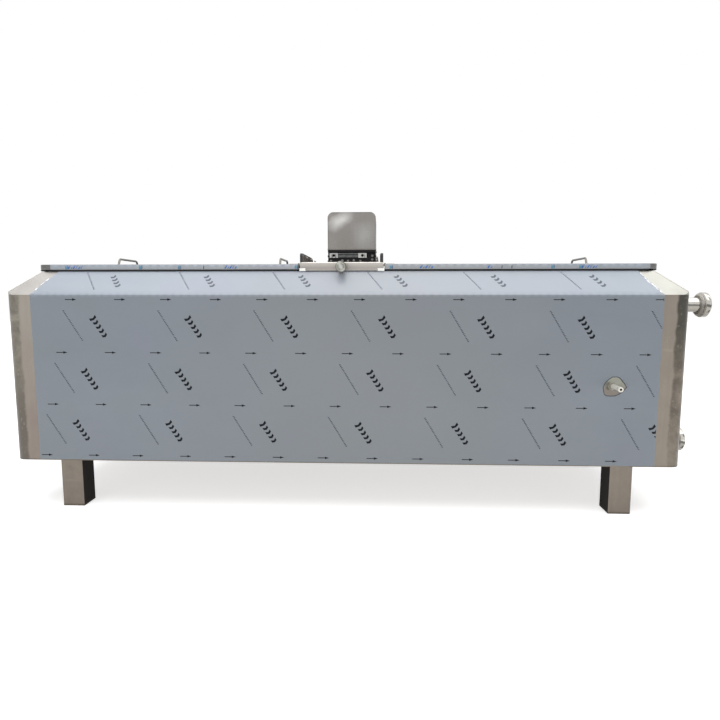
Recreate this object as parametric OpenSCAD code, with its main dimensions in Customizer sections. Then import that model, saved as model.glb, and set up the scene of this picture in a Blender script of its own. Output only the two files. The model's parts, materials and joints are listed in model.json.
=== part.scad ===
// Horizontal milk pasteurizing vat with two lids, a central agitator bridge and a geared agitator drive.
// X runs along the vat, the front is at -Y, Z is up.
// The origin lies on the floor under the middle of the whole.

/* [Body] */
// Length of the insulated body
body_l = 2400; // [1900:10:3000]
// Depth of the body, front to back
body_w = 1200; // [1120:10:1400]
// Height of the underside above the floor
body_z = 181; // [140:1:260]
// Height of the crease between front and shoulder
crease_z = 783; // [740:1:860]
// How far the shoulder leans back
shoulder_run = 85; // [75:1:120]
// How far the shoulder climbs
shoulder_rise = 85; // [75:1:110]
// How far the top of each end leans in
end_run = 98; // [75:1:130]
// Thickness of the outer sheets
skin_t = 2; // [1:0.5:3]
// Radius of the upright corners
corner_r = 38; // [20:1:50]
// Width of the bare strip that each end cap wraps round the front
cap_wrap = 80; // [60:1:84]
// Thickness of the protective film
film_t = 0.4; // [0.2:0.1:0.6]

/* [Liner] */
// Distance from the front sheet to the liner's side wall
side_wall = 60; // [50:1:80]
// Thickness of the liner sheets
liner_t = 2; // [1.5:0.5:3]
// Height of the lowest line of the liner floor
sump_z = 332; // [315:1:350]
// Rise of the floor from the middle line to the wall
floor_rise = 66; // [40:1:90]
// Width of the seat round the mouth
seat_w = 34; // [28:1:40]
// Height of the upright neck under the seat
neck_h = 26; // [15:1:35]
// Space for water between liner and jacket
jacket_gap = 20; // [12:1:26]
// How far the jacket stays below the liner's crease
jacket_drop = 40; // [20:1:120]

/* [Legs] */
// Side of the square legs
leg_side = 80; // [60:1:100]
// Wall of the leg tube
leg_wall = 3; // [2:0.5:5]
// Distance of the leg's middle from the body's end
leg_in = 200; // [160:5:400]
// Distance of the leg's face from the front sheet
leg_back = 20; // [3:1:60]
// Height of the frame rails on the floor pan
rail_h = 50; // [40:1:60]

/* [Lids] */
// Height of the lid rim
lid_h = 19; // [18:1:30]
// Thickness of the lid sheet
lid_t = 2; // [1:0.5:3]
// How far a lid stands past the seat's end
lid_over = 22; // [4:1:26]
// Width of the folded-in edge under the lid
lid_fold = 18; // [14:1:24]
// Height of the gasket
gasket_h = 6; // [5:1:9]
// Width of the gasket
gasket_w = 12; // [8:1:13]
// Diameter of the handle rod
handle_d = 9; // [8:0.5:10]
// Length of the handle's top
handle_l = 150; // [120:1:180]
// Height of the handle above the lid
handle_h = 51; // [36:1:56]
// Distance of the outer handles from the lid's outer edge
outer_handle_in = 109; // [80:1:400]
// Distance of the inner handle from the lid's inner edge
inner_handle_in = 144; // [100:1:240]

/* [Hinges] */
// Radius of a hinge pin
pin_r = 2.5; // [2:0.1:2.8]
// Radius of a hinge knuckle
knuckle_r = 4; // [3.8:0.1:4.4]
// Length of one hinge
hinge_l = 60; // [40:1:68]
// Distance of a hinge's middle from the lid's front edge
hinge_in = 38; // [36:1:150]

/* [Bridge] */
// Width of the bridge between the lids
bridge_w = 300; // [290:1:340]
// Height of the bridge's front edge
bridge_h = 29; // [28:1:36]
// Sheet thickness of the bridge
bridge_t = 2; // [1.5:0.5:3]
// Height of the bumpers above the bridge
bumper_h = 33; // [29:1:38]
// Thickness of the rubber bumpers
bumper_t = 10; // [6:1:14]
// Length of the bumpers
bumper_l = 320; // [200:5:560]

/* [Drive] */
// Clear width of the bridge to the left of the hood
hood_left = 61; // [50:1:64]
// Depth of the hood
hood_d = 216; // [210:1:260]
// Height of the hood
hood_h = 159; // [154:1:200]
// Radius of the hood's upper corners
hood_r = 24; // [10:1:30]
// Height of the gearbox with its cover
gearbox_h = 76; // [74:1:84]
// Number of teeth on the wheels
wheel_teeth = 60; // [48:1:60]
// Number of teeth on the pinions
pinion_teeth = 12; // [10:1:14]
// Tooth size as pitch diameter over teeth
tooth_m = 1.25; // [1.1:0.05:1.25]
// Radius of the motor shell
motor_r = 60; // [50:1:62]

/* [Agitator] */
// Diameter of the agitator shaft
shaft_d = 25; // [20:1:30]
// Reach of the paddle from the shaft
paddle_r = 380; // [250:5:420]
// Height of a paddle blade
paddle_h = 90; // [60:1:110]
// Distance of the shaft's foot above the liner floor
shaft_foot = 30; // [20:1:60]

/* [Fittings] */
// Outside diameter of the pipes
pipe_d = 53; // [50:0.5:54]
// Wall of the pipes
pipe_wall = 2; // [1.5:0.5:3]
// Outside diameter of the union nuts
nut_d = 92; // [88:1:98]
// Length of the union nuts
nut_l = 24; // [22:1:32]
// How far the upper union stands out of the body's end
inlet_out = 153; // [130:1:220]
// Height of the upper union
inlet_z = 746; // [700:1:754]
// Distance of the upper union from the front sheet
inlet_in = 200; // [180:1:300]
// How far the lower union stands out of the body's end
water_out = 136; // [120:1:150]
// Height of the lower union
water_z = 213; // [210:1:218]
// Distance of the lower union from the front sheet
water_in = 282; // [260:1:350]
// How far the thermometer pocket stands out of the front
pocket_out = 73; // [50:1:90]
// Diameter of the pocket tube
pocket_d = 18; // [14:1:22]
// Bore of the pocket
pocket_bore = 7; // [5:0.5:9]
// Distance of the pocket from the body's end
pocket_end = 255; // [180:1:600]
// Height of the pocket
pocket_z = 468; // [440:1:600]
// Diameter of the bare round patch in the film
bare_patch_d = 72; // [50:1:90]
// Outside diameter of the rinse pipe
rinse_d = 26; // [22:1:28]
// Diameter of the rinse cap
rinse_cap_d = 38; // [32:1:40]

/* [Hidden] */
$fn = 48;
// Clearance of a turning fit, a seat and a soft contact
run_gap = 0.05;
fit_gap = 0.3;
// Small overshoot that keeps cuts clean
cut = 1;

slope = atan(shoulder_rise / shoulder_run);
end_slope = atan(shoulder_rise / end_run);
seat_z = crease_z + shoulder_rise;
seat_x = body_l / 2 - end_run - skin_t / sin(end_slope);
liner_x = round(seat_x - seat_w);
liner_y = body_w / 2 - side_wall;
seat_y = body_w / 2 - shoulder_run - skin_t / sin(slope);
neck_y = seat_y - seat_w;
neck_z = seat_z - neck_h;
liner_crease_z = neck_z - (liner_y - neck_y) * tan(slope);
wall_foot_z = sump_z + floor_rise;

lid_z = seat_z + gasket_h;
lid_y = body_w / 2 - shoulder_run + 4;
lid_x0 = bridge_w / 2 + 5;
lid_x1 = body_l / 2 - end_run + lid_over;
// Extra width of the lid's fold at its outer end, so that the gasket stays on the seat
end_fold = lid_over - 8;
hinge_x = bridge_w / 2 + 2 + knuckle_r;
hinge_y = lid_y - hinge_in;
hinge_z = lid_z + lid_h;
outer_handle_x = lid_x1 - outer_handle_in;
inner_handle_x = lid_x0 + inner_handle_in;

bridge_y = lid_y + 2;
bridge_top = seat_z + 2 + bridge_h;
pad_h = 10;
pad_x = 22;
pad_y = 28;

// Legs, frame and jacket
rail_w = 40;
jacket_out = liner_t + jacket_gap + skin_t;
jacket_x = liner_x - 20;
jacket_top = liner_crease_z - jacket_drop;
// Width of each end cap's fold along a hip, square to the end's slope
hip_in = 5;

// Lids, hinges and bumpers
bend_r = 16;
bend_turn = 62;
outer_knuckle_l = hinge_l * 0.3;
leaf_w = 34;
leaf_t = 2;
ledge_w = 36;
bumper_r = 12;
bumper_end_r = 60;
bumper_x0 = bridge_w / 2 - bumper_t;
bracket_t = 2;
bracket_foot = 8;

// Gearbox, motor and hood
cover_t = 10;
flange_t = 6;
flange_out = 12;
lip_h = 10;
drive_gap = 1;
hood_x0 = -bridge_w / 2 + hood_left;
hood_x1 = bumper_x0 - bracket_t - bracket_foot - drive_gap - flange_out;
hood_w = hood_x1 - hood_x0;
hood_x = (hood_x0 + hood_x1) / 2;
hood_t = 2;
lip_in = hood_t + fit_gap;
lip_t = 7.7;
drive_z = bridge_top + gearbox_h;
hood_screw_y = [-70, 70];
screw_z = drive_z + lip_h / 2;
gear_box_y = hood_d / 2 - 14;
screw_r = 2.5;
screw_head_r = 4.5;
bolt_x = hood_w / 2 + flange_out / 2;
bolt_y = gear_box_y - 16;
bolt_r = 3;
bolt_head_r = 6;
bolt_head_h = 4.5;
lug_x = [-hood_w / 2 + 25, hood_w / 2 - 57];
lug_w = 36;
lug_h = 20;
lug_z = 43;
lug_out = 9;
lug_bore_r = 6;
rib_t = 3;
rib_out = 5;
rib_step = 7;
foot_rib_w = 6;
foot_rib_step = 40;
foot_rib_h = 24;
bore_deep = 4;
wheel_r = wheel_teeth * tooth_m / 2;
centre_gap = (wheel_teeth + pinion_teeth) * tooth_m / 2;
cavity_x0 = -wheel_r - 6;
cavity_x1 = centre_gap + wheel_r + 6;
cavity_y = wheel_r + 6;
cavity_z = bridge_top + 8;
stage_low_z = bridge_top + 10;
stage_high_z = bridge_top + 32;
low_face = 14;
high_face = 12;
shaft_top = stage_low_z + low_face + 4;
motor_shaft_r = 5;
counter_r = 4.5;
counter_z = bridge_top + 3;
counter_top = 5;
motor_h = 112;
motor_wall = 6;
motor_base = 8;
fin_t = 2.4;
fin_turn = 15;
rotor_r = motor_r - 22;
rotor_gap = 0.6;
rotor_z = drive_z + 20;
rotor_h = motor_h - 46;
box_x = motor_r + 0.2;
box_gap = 12.8;
box_l = hood_x1 - hood_t - box_gap - box_x;
box_w = 64;
box_z = drive_z + 26;
box_h = 62;
box_wall = 3;
gland_r = 9;
gland_l = 12;

// Agitator and seal
shaft_z0 = sump_z + shaft_foot;
blade_t = 4;
blade_tilt = 30;
paddle_z = sump_z + floor_rise * paddle_r / liner_y + paddle_h / 2 + 15;
hub_h = paddle_h * 0.8;
seal_r = shaft_d / 2 + 10;
seal_h = 12;
seal_lip = 6;
arm_r = 9;

// Rinse pipe
rinse_z = bridge_top - bridge_h / 2 - 2;
rinse_out = 34;
rinse_bend = 40;
rinse_in = 60;
rinse_wall = 1.5;
ball_r = 24;
ball_wall = 2;
ball_drop = 46;
ball_y = rinse_in + rinse_bend - bridge_y;
ball_z = 6 - rinse_bend - ball_drop - ball_r;
cap_l = 15;
cap_knob_r = rinse_cap_d / 2 - 7;
cap_knob_l = 3;

// Pipes, unions and the outlet valve
pipe_r = pipe_d / 2 - pipe_wall;
nut_gap = 0.08;
nut_chamfer = 4;
nut_seat = 5;
notch_w = 10;
notch_deep = 3;
collar_r = nut_d / 2 - 3;
collar_slant = 8;
collar_l = 7;
ring_l = 2;
male_r = nut_d / 2 - 7;
inlet_y = body_w / 2 - inlet_in;
water_y = body_w / 2 - water_in;
inlet_end = body_l / 2 + inlet_out;
water_end = body_l / 2 + water_out;
water_bend = 60;
water_rise_x = jacket_x - pipe_d / 2 - 24;
jacket_floor_z = sump_z + floor_rise * water_y / liner_y - jacket_out / cos(atan(floor_rise / liner_y));
outlet_z = sump_z + pipe_d / 2 + 3;
valve_x = body_l / 2 + 60;
valve_l = 34;
valve_r = 44;
valve_end = valve_x + valve_l + 26;
valve_flange_t = 6;
disc_t = 4;
stem_r = 5;
lever_z = 62;
lever_l = 112;
lever_w = 16;
lever_t = 4;
lever_hub_r = 12;
lever_hub_h = 8;
fitting_axes = [[-inlet_y, inlet_z], [-water_y, water_z], [0, outlet_z]];
pocket_x = body_l / 2 - pocket_end;
pocket_in = 60;
pocket_base_l = 5;
pocket_ring_l = 9;
pocket_tip = 6;

shift_x = inlet_out / 2;
shift_y = (film_t - pocket_out) / 2;

// Places the vat so that the origin lies under the middle of everything
module placed() translate([-shift_x, -shift_y, 0]) children();

// Mirrors children to the front (side = -1) or leaves them at the rear (side = 1)
module at_side(side) mirror([0, side < 0 ? 1 : 0, 0]) children();

// Mirrors children to the left (side = -1) or leaves them at the right (side = 1)
module at_end(side) mirror([side < 0 ? 1 : 0, 0, 0]) children();

// Extrudes a Y-Z outline along X
module along_x(x0, x1) translate([x0, 0, 0]) rotate([90, 0, 90]) linear_extrude(x1 - x0) children();

// A round bar or tube along X or Y, from a start to an end
module bar_x(r, x0, x1) translate([x0, 0, 0]) rotate([0, 90, 0]) cylinder(r = r, h = x1 - x0);
module bar_y(r, y0, y1) translate([0, y0, 0]) rotate([-90, 0, 0]) cylinder(r = r, h = y1 - y0);

// A box between two corners
module block(low, high) translate(low) cube(high - low);

// Offsets the corner q of the line p, q, r sideways by d
function unit(v) = v / norm(v);
function side_of(p, q) = let (u = unit(q - p)) [u.y, -u.x];
function mitred(p, q, r, d) = let (a = side_of(p, q), b = side_of(q, r)) q + d * (a + b) / (1 + a * b);
function shifted(path, d) = [for (i = [0:len(path) - 1])
    i == 0 ? path[0] + d * side_of(path[0], path[1])
    : i == len(path) - 1 ? path[i] + d * side_of(path[i - 1], path[i])
    : mitred(path[i - 1], path[i], path[i + 1], d)];
function flipped(path) = [for (i = [len(path) - 1:-1:0]) [-path[i].x, path[i].y]];

// The milk side of the liner, from the rear neck over the sump to the front neck, as Y-Z points
liner_half = [[liner_y, wall_foot_z], [liner_y, liner_crease_z], [neck_y, neck_z], [neck_y, seat_z]];
liner_line = concat(flipped(liner_half), [[0, sump_z]], liner_half);
sump = len(liner_half);
jacket_half = [[liner_y, wall_foot_z], [liner_y, jacket_top]];
jacket_line = concat(flipped(jacket_half), [[0, sump_z]], jacket_half);

// One flat sheet of the liner between two corners of its outline
module liner_sheet(i) {
    outer = shifted(liner_line, liner_t);
    along_x(-liner_x, liner_x)
        polygon([liner_line[i], liner_line[i + 1], outer[i + 1], outer[i]]);
}

// The body's outline, drawn in by d, that runs on past the seat by over and below the floor by under
function skin_y(d, z) = body_w / 2 - (d + (z - crease_z) * cos(slope)) / sin(slope);
function skin_half(d, over, under) = [
    [body_w / 2 - d, body_z - under],
    [body_w / 2 - d, crease_z - d * tan(45 - slope / 2)],
    [skin_y(d, seat_z + over), seat_z + over]];
module skin_outline(d, over = 0, under = 0) {
    half = skin_half(d, over, under);
    polygon(concat(half, [for (i = [2:-1:0]) [-half[i].x, half[i].y]]));
}

// The right half of the body seen from the front, drawn in by d, with the end leaning in above the crease
function end_x(d, z) = body_l / 2 - (d + (z - crease_z) * cos(end_slope)) / sin(end_slope);
corner_x = body_l / 2 - corner_r;
corner_z = crease_z + (corner_r * sin(end_slope) - hip_in) / cos(end_slope);
module along_y() rotate([90, 0, 0]) linear_extrude(2 * body_w, center = true) children();
module end_outline(d, over = 0, under = 0) along_y() polygon([
    [0, body_z - under], [body_l / 2 - d, body_z - under],
    [body_l / 2 - d, crease_z - d * tan(45 - end_slope / 2)],
    [end_x(d, seat_z + over), seat_z + over], [0, seat_z + over]]);

// The length that the film covers
module film_span() {
    x = body_l / 2 - cap_wrap;
    top_x = end_x(0, seat_z + cut) - cap_wrap;
    along_y() polygon([[-x, 0], [x, 0], [x, crease_z], [top_x, seat_z + cut],
        [-top_x, seat_z + cut], [-x, crease_z]]);
}

// The length that the front and rear sheets cover between the end caps, out to the hips above the crease
module sheet_span() {
    x = body_l / 2 - cap_wrap;
    half = [[x, 0], [x, crease_z], [corner_x, crease_z], [corner_x, corner_z],
        [end_x(hip_in, seat_z + cut), seat_z + cut]];
    along_y() polygon(concat(half, [for (i = [len(half) - 1:-1:0]) [-half[i].x, half[i].y]]));
}

// Plan of one end with rounded upright corners, drawn in by d
module end_plan(d) {
    r = corner_r - d;
    x = body_l / 2 - d;
    y = body_w / 2 - d;
    translate([0, -y + r]) square([x, 2 * (y - r)]);
    translate([0, -y]) square([x - r, 2 * y]);
    for (s = [-1, 1]) translate([x - r, s * (y - r)]) circle(r = r);
}

// Legs and frame
module leg(end, side) placed() color("dimgray")
    translate([end * (body_l / 2 - leg_in), side * (body_w / 2 - leg_back - leg_side / 2), 0])
        difference() {
            translate([-leg_side / 2, -leg_side / 2, 0])
                cube([leg_side, leg_side, body_z + skin_t]);
            translate([-leg_side / 2 + leg_wall, -leg_side / 2 + leg_wall, 2 * leg_wall])
                cube([leg_side - 2 * leg_wall, leg_side - 2 * leg_wall, body_z + cut]);
        }
module leg_front_left() leg(-1, -1);
module leg_front_right() leg(1, -1);
module leg_rear_left() leg(-1, 1);
module leg_rear_right() leg(1, 1);

module base_frame() placed() color("slategray") {
    z = body_z + skin_t;
    x = body_l / 2 - leg_in + leg_side / 2;
    y = body_w / 2 - leg_back - leg_side;
    for (s = [-1, 1]) at_side(s)
        block([-x, y, z], [x, y + rail_w, z + rail_h]);
    for (x0 = [-x + leg_side, -rail_w / 2, x - leg_side - rail_w])
        block([x0, -y, z], [x0 + rail_w, y, z + rail_h]);
}

module floor_pan() placed() color("silver")
    difference() {
        translate([0, 0, body_z]) linear_extrude(skin_t) {
            end_plan(skin_t);
            mirror([1, 0]) end_plan(skin_t);
        }
        for (e = [-1, 1], s = [-1, 1])
            translate([e * (body_l / 2 - leg_in), s * (body_w / 2 - leg_back - leg_side / 2), body_z])
                cube([leg_side, leg_side, 3 * skin_t], center = true);
    }

// Outer sheets
module cladding_sheet(i, side) at_side(side) {
    outer = skin_half(0, 0, 0);
    inner = skin_half(skin_t, 0, 0);
    intersection() {
        along_x(-body_l / 2, body_l / 2) polygon([outer[i], outer[i + 1], inner[i + 1], inner[i]]);
        sheet_span();
    }
}
module pocket_hole(d) translate([pocket_x, 0, pocket_z]) bar_y(d / 2, -body_w, 0);
module front_panel() placed() color("lightsteelblue")
    difference() {
        cladding_sheet(0, -1);
        pocket_hole(pocket_d);
    }
module rear_panel() placed() color("lightsteelblue") cladding_sheet(0, 1);
module front_shoulder() placed() color("lightsteelblue") cladding_sheet(1, -1);
module rear_shoulder() placed() color("lightsteelblue") cladding_sheet(1, 1);

module end_body(d, over, under) intersection() {
    along_x(0, body_l / 2 - d) skin_outline(d, over, under);
    end_outline(d, over, under);
    translate([0, 0, body_z - under - cut]) linear_extrude(body_l) end_plan(d);
}
module end_cap() difference() {
    end_body(0, 0, 0);
    end_body(skin_t, cut, cut);
    sheet_span();
}
module left_end_cap() placed() color("lightgray") at_end(-1) end_cap();
module right_end_cap() placed() color("lightgray")
    difference() {
        end_cap();
        for (p = fitting_axes) translate([body_l / 2, p.x, p.y]) bar_x(pipe_d / 2, -2 * skin_t, cut);
    }

// Thin film on the front and the rear sheets, with a bare round patch at the pocket
module film_sheet(side) at_side(side) {
    outer = skin_half(-film_t, 0, 0);
    inner = skin_half(0, 0, 0);
    intersection() {
        along_x(-body_l / 2, body_l / 2) polygon(concat(outer, [inner[2], inner[1], inner[0]]));
        film_span();
    }
}
module protective_film() placed() color("powderblue") {
    difference() {
        film_sheet(-1);
        pocket_hole(bare_patch_d);
    }
    film_sheet(1);
}

// Liner, jacket and insulation
module liner_floor() liner_sheet(sump);
module liner_wall() liner_sheet(sump + 1);
module liner_shoulder() {
    liner_sheet(sump + 2);
    liner_sheet(sump + 3);
    block([-liner_x, neck_y, seat_z - liner_t], [liner_x, seat_y, seat_z]);
}
module liner_end() {
    outer = shifted(liner_line, liner_t);
    along_x(liner_x, liner_x + liner_t) polygon(outer);
    block([liner_x, -seat_y, seat_z - liner_t], [seat_x, seat_y, seat_z]);
}
module liner_front_floor() placed() color("gainsboro") at_side(-1) liner_floor();
module liner_rear_floor() placed() color("gainsboro") liner_floor();
module liner_front_wall() placed() color("gainsboro")
    difference() {
        at_side(-1) liner_wall();
        pocket_hole(pocket_d);
    }
module liner_rear_wall() placed() color("gainsboro") liner_wall();
module liner_front_shoulder() placed() color("gainsboro") at_side(-1) liner_shoulder();
module liner_rear_shoulder() placed() color("gainsboro") liner_shoulder();
module liner_left_end() placed() color("gainsboro") at_end(-1) liner_end();
module liner_right_end() placed() color("gainsboro")
    difference() {
        liner_end();
        for (p = [fitting_axes[0], fitting_axes[2]])
            translate([0, p.x, p.y]) bar_x(pipe_r, liner_x - cut, liner_x + liner_t + cut);
    }

// Water space outside the floor and the walls of the liner, between two offsets of its outline
module jacket_space(inner, outer, trim, x)
    along_x(-x, x) intersection() {
        difference() {
            polygon(shifted(jacket_line, outer));
            polygon(concat(shifted(jacket_line, inner),
                [[liner_y + inner, seat_z], [-liner_y - inner, seat_z]]));
        }
        translate([-body_w, 0]) square([2 * body_w, jacket_top - trim]);
    }
module water_jacket() placed() color("darkgray")
    difference() {
        jacket_space(liner_t, jacket_out, 0, jacket_x);
        jacket_space(liner_t - cut, jacket_out - skin_t, skin_t, jacket_x - skin_t);
        pocket_hole(pocket_d);
        translate([water_rise_x, -water_y, 0]) cylinder(r = pipe_r, h = wall_foot_z - jacket_gap);
    }

// Everything inside the jacket's outer faces
module jacket_fill()
    along_x(-jacket_x, jacket_x) intersection() {
        polygon(concat(shifted(jacket_line, jacket_out), [[liner_y, seat_z], [-liner_y, seat_z]]));
        translate([-body_w, 0]) square([2 * body_w, jacket_top]);
    }

module insulation() placed() color("khaki")
    difference() {
        intersection() {
            union() {
                end_body(skin_t, cut, cut);
                at_end(-1) end_body(skin_t, cut, cut);
            }
            block([-body_l, -body_w, body_z + skin_t + rail_h], [body_l, body_w, seat_z - liner_t]);
        }
        along_x(-liner_x - liner_t, liner_x + liner_t) polygon(shifted(liner_line, liner_t));
        jacket_fill();
        pocket_hole(pocket_d);
        for (p = fitting_axes) translate([0, p.x, p.y]) bar_x(pipe_d / 2, liner_x, body_l / 2);
        water_run(pipe_d / 2);
    }

// Lids with their gaskets, handles and hinge leaves, drawn for the right side
module lid_plan(d, end_in = 0) {
    r = corner_r - d;
    x0 = lid_x0 + d;
    x1 = lid_x1 - d - end_in;
    y = lid_y - d;
    translate([x0, -y]) square([x1 - r - x0, 2 * y]);
    translate([x0, -y + r]) square([x1 - x0, 2 * (y - r)]);
    for (s = [-1, 1]) translate([x1 - r, s * (y - r)]) circle(r = r);
}
module lid_pan() difference() {
    translate([0, 0, lid_z]) linear_extrude(lid_h) lid_plan(0);
    translate([0, 0, lid_z + lid_t]) linear_extrude(lid_h - 2 * lid_t) lid_plan(lid_t);
    translate([0, 0, lid_z - cut]) linear_extrude(lid_h - lid_t) lid_plan(lid_fold, end_fold);
    for (s = [-1, 1])
        block([lid_x0 - cut, s * hinge_y - hinge_l / 2 - cut, lid_z - cut],
            [hinge_x + knuckle_r + cut, s * hinge_y + hinge_l / 2 + cut, hinge_z + cut]);
}
module gasket() translate([0, 0, seat_z + fit_gap]) linear_extrude(gasket_h - fit_gap)
    difference() {
        lid_plan(lid_fold - gasket_w + 1, end_fold);
        lid_plan(lid_fold + 1, end_fold);
    }
module left_lid() placed() color("silver") at_end(-1) lid_pan();
module right_lid() placed() color("silver") lid_pan();
module left_gasket() placed() color([0.12, 0.12, 0.14]) at_end(-1) gasket();
module right_gasket() placed() color([0.12, 0.12, 0.14]) gasket();

// Bent rod handle along Y: straight top, two bends and two slanted feet
module handle_half() {
    r = handle_d / 2;
    top = handle_h - r;
    foot_l = (top - bend_r + bend_r * cos(bend_turn) + r * cos(bend_turn)) / sin(bend_turn);
    translate([0, -cut / 2, top]) rotate([-90, 0, 0]) cylinder(r = r, h = handle_l / 2 + cut / 2);
    translate([0, handle_l / 2, top - bend_r]) rotate([0, -90, 0]) {
        rotate_extrude(angle = bend_turn) translate([bend_r, 0]) circle(r = r);
        rotate([0, 0, bend_turn]) translate([bend_r, 0, 0]) rotate([-90, 0, 0]) cylinder(r = r, h = foot_l);
    }
}
module handle_at(x) translate([x, 0, hinge_z])
    difference() {
        union() {
            handle_half();
            mirror([0, 1, 0]) handle_half();
        }
        block([-handle_d, -handle_l, -handle_d], [handle_d, handle_l, 0]);
    }
module left_outer_handle() placed() color("silver") handle_at(-outer_handle_x);
module left_inner_handle() placed() color("silver") handle_at(-inner_handle_x);
module right_outer_handle() placed() color("silver") handle_at(outer_handle_x);

// Hinge: two outer knuckles on the bridge, one middle knuckle on the lid, a pin through all three
module pin_bore() bar_y(pin_r + run_gap, -hinge_l, hinge_l);
module lid_leaf() difference() {
    half = hinge_l / 2 - outer_knuckle_l - fit_gap;
    union() {
        bar_y(knuckle_r, -half, half);
        block([0, -half, 0], [leaf_w, half, leaf_t]);
        block([knuckle_r + 2, -hinge_l / 2, 0], [leaf_w, hinge_l / 2, leaf_t]);
    }
    pin_bore();
}
module bridge_leaf() difference() {
    edge = bridge_w / 2 - hinge_x;
    union() {
        for (s = [-1, 1]) at_side(s) {
            bar_y(knuckle_r, hinge_l / 2 - outer_knuckle_l, hinge_l / 2);
            block([edge, hinge_l / 2 - outer_knuckle_l, -knuckle_r], [0, hinge_l / 2, 0]);
        }
        block([edge, -hinge_l / 2, -3.6 * knuckle_r], [edge + leaf_t - fit_gap, hinge_l / 2, -knuckle_r]);
        block([edge, -hinge_l / 2, -1.2 * knuckle_r], [edge + leaf_t - fit_gap, hinge_l / 2, 0]);
    }
    pin_bore();
}
module at_hinges(end) at_end(end) for (s = [-1, 1]) translate([hinge_x, s * hinge_y, hinge_z]) children();
module left_lid_hinges() placed() color("silver") at_hinges(-1) lid_leaf();
module right_lid_hinges() placed() color("silver") at_hinges(1) lid_leaf();
module bridge_hinges() placed() color("silver") {
    at_hinges(-1) bridge_leaf();
    at_hinges(1) bridge_leaf();
}
module hinge_pins() placed() color("black")
    for (e = [-1, 1]) at_hinges(e) bar_y(pin_r, -hinge_l / 2 - 1, hinge_l / 2 + 1);

// Bridge across the mouth, with side ledges that carry the lids' inner gaskets
module agitator_bridge() placed() color("lightgray")
    difference() {
        union() {
            difference() {
                block([-bridge_w / 2, -bridge_y, seat_z + 2], [bridge_w / 2, bridge_y, bridge_top]);
                block([-bridge_w / 2 + bridge_t, -bridge_y + bridge_t, 0],
                    [bridge_w / 2 - bridge_t, bridge_y - bridge_t, bridge_top - bridge_t]);
            }
            for (e = [-1, 1]) at_end(e) {
                block([bridge_w / 2 - bridge_t, -neck_y + 2, seat_z - bridge_t],
                    [bridge_w / 2, neck_y - 2, seat_z + 4]);
                block([bridge_w / 2 - bridge_t, -neck_y + 2, seat_z - bridge_t],
                    [bridge_w / 2 + ledge_w, neck_y - 2, seat_z]);
            }
        }
        for (e = [-1, 1], s = [-1, 1]) at_end(e) at_side(s)
            block([bridge_w / 2 - pad_x + 2, bridge_y - pad_y, seat_z],
                [bridge_w / 2 + cut, bridge_y + cut, seat_z + pad_h]);
        cylinder(r = seal_r, h = 2 * bridge_top);
        translate([0, 0, rinse_z]) bar_y(rinse_d / 2, -bridge_y - cut, -bridge_y + 3 * bridge_t);
    }
module bridge_pads() placed() color("white")
    for (e = [-1, 1], s = [-1, 1]) at_end(e) at_side(s)
        block([bridge_w / 2 - pad_x + 2, bridge_y - pad_y, seat_z],
            [bridge_w / 2 + 2, bridge_y + 1, seat_z + pad_h]);

// Upright rubber bumpers that a raised lid leans towards, each on a steel angle
module bumper_outline(h) {
    y0 = -bridge_y + 2;
    translate([y0, 0]) square([2 * bumper_r, h - bumper_r]);
    translate([y0 + bumper_r, 0]) square([bumper_l - bumper_r - bumper_end_r, h]);
    translate([y0 + bumper_r, h - bumper_r]) circle(r = bumper_r);
    translate([y0 + bumper_l - bumper_end_r, h - bumper_end_r]) circle(r = bumper_end_r);
}
module upright_plate(x0, x1, h) translate([0, 0, bridge_top]) along_x(x0, x1)
    intersection() {
        bumper_outline(h);
        translate([-body_w, 0]) square([2 * body_w, h]);
    }
module lid_bumpers() placed() color([0.1, 0.1, 0.1])
    for (e = [-1, 1]) at_end(e) upright_plate(bumper_x0, bridge_w / 2, bumper_h);
module bumper_brackets() placed() color("gray")
    for (e = [-1, 1]) at_end(e) {
        upright_plate(bumper_x0 - bracket_t, bumper_x0, bumper_h - 3);
        block([bumper_x0 - bracket_t - bracket_foot, -bridge_y + 2 + bumper_r, bridge_top],
            [bumper_x0 - bracket_t, -bridge_y + 2 + bumper_l - bumper_end_r, bridge_top + bracket_t]);
    }

// Toothed wheel with slim straight-sided teeth, cut from a formula
module gear(teeth, face, turn = 0) {
    pitch_r = teeth * tooth_m / 2;
    root_r = pitch_r - 1.25 * tooth_m;
    tip_r = pitch_r + 0.8 * tooth_m;
    step = 360 / teeth;
    rotate(turn) linear_extrude(face) polygon([for (i = [0:teeth - 1], k = [0:3])
        let (r = k == 0 || k == 3 ? root_r : tip_r, a = [-0.28, -0.11, 0.11, 0.28][k] * step)
            r * [cos(i * step + a), sin(i * step + a)]]);
}

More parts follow.
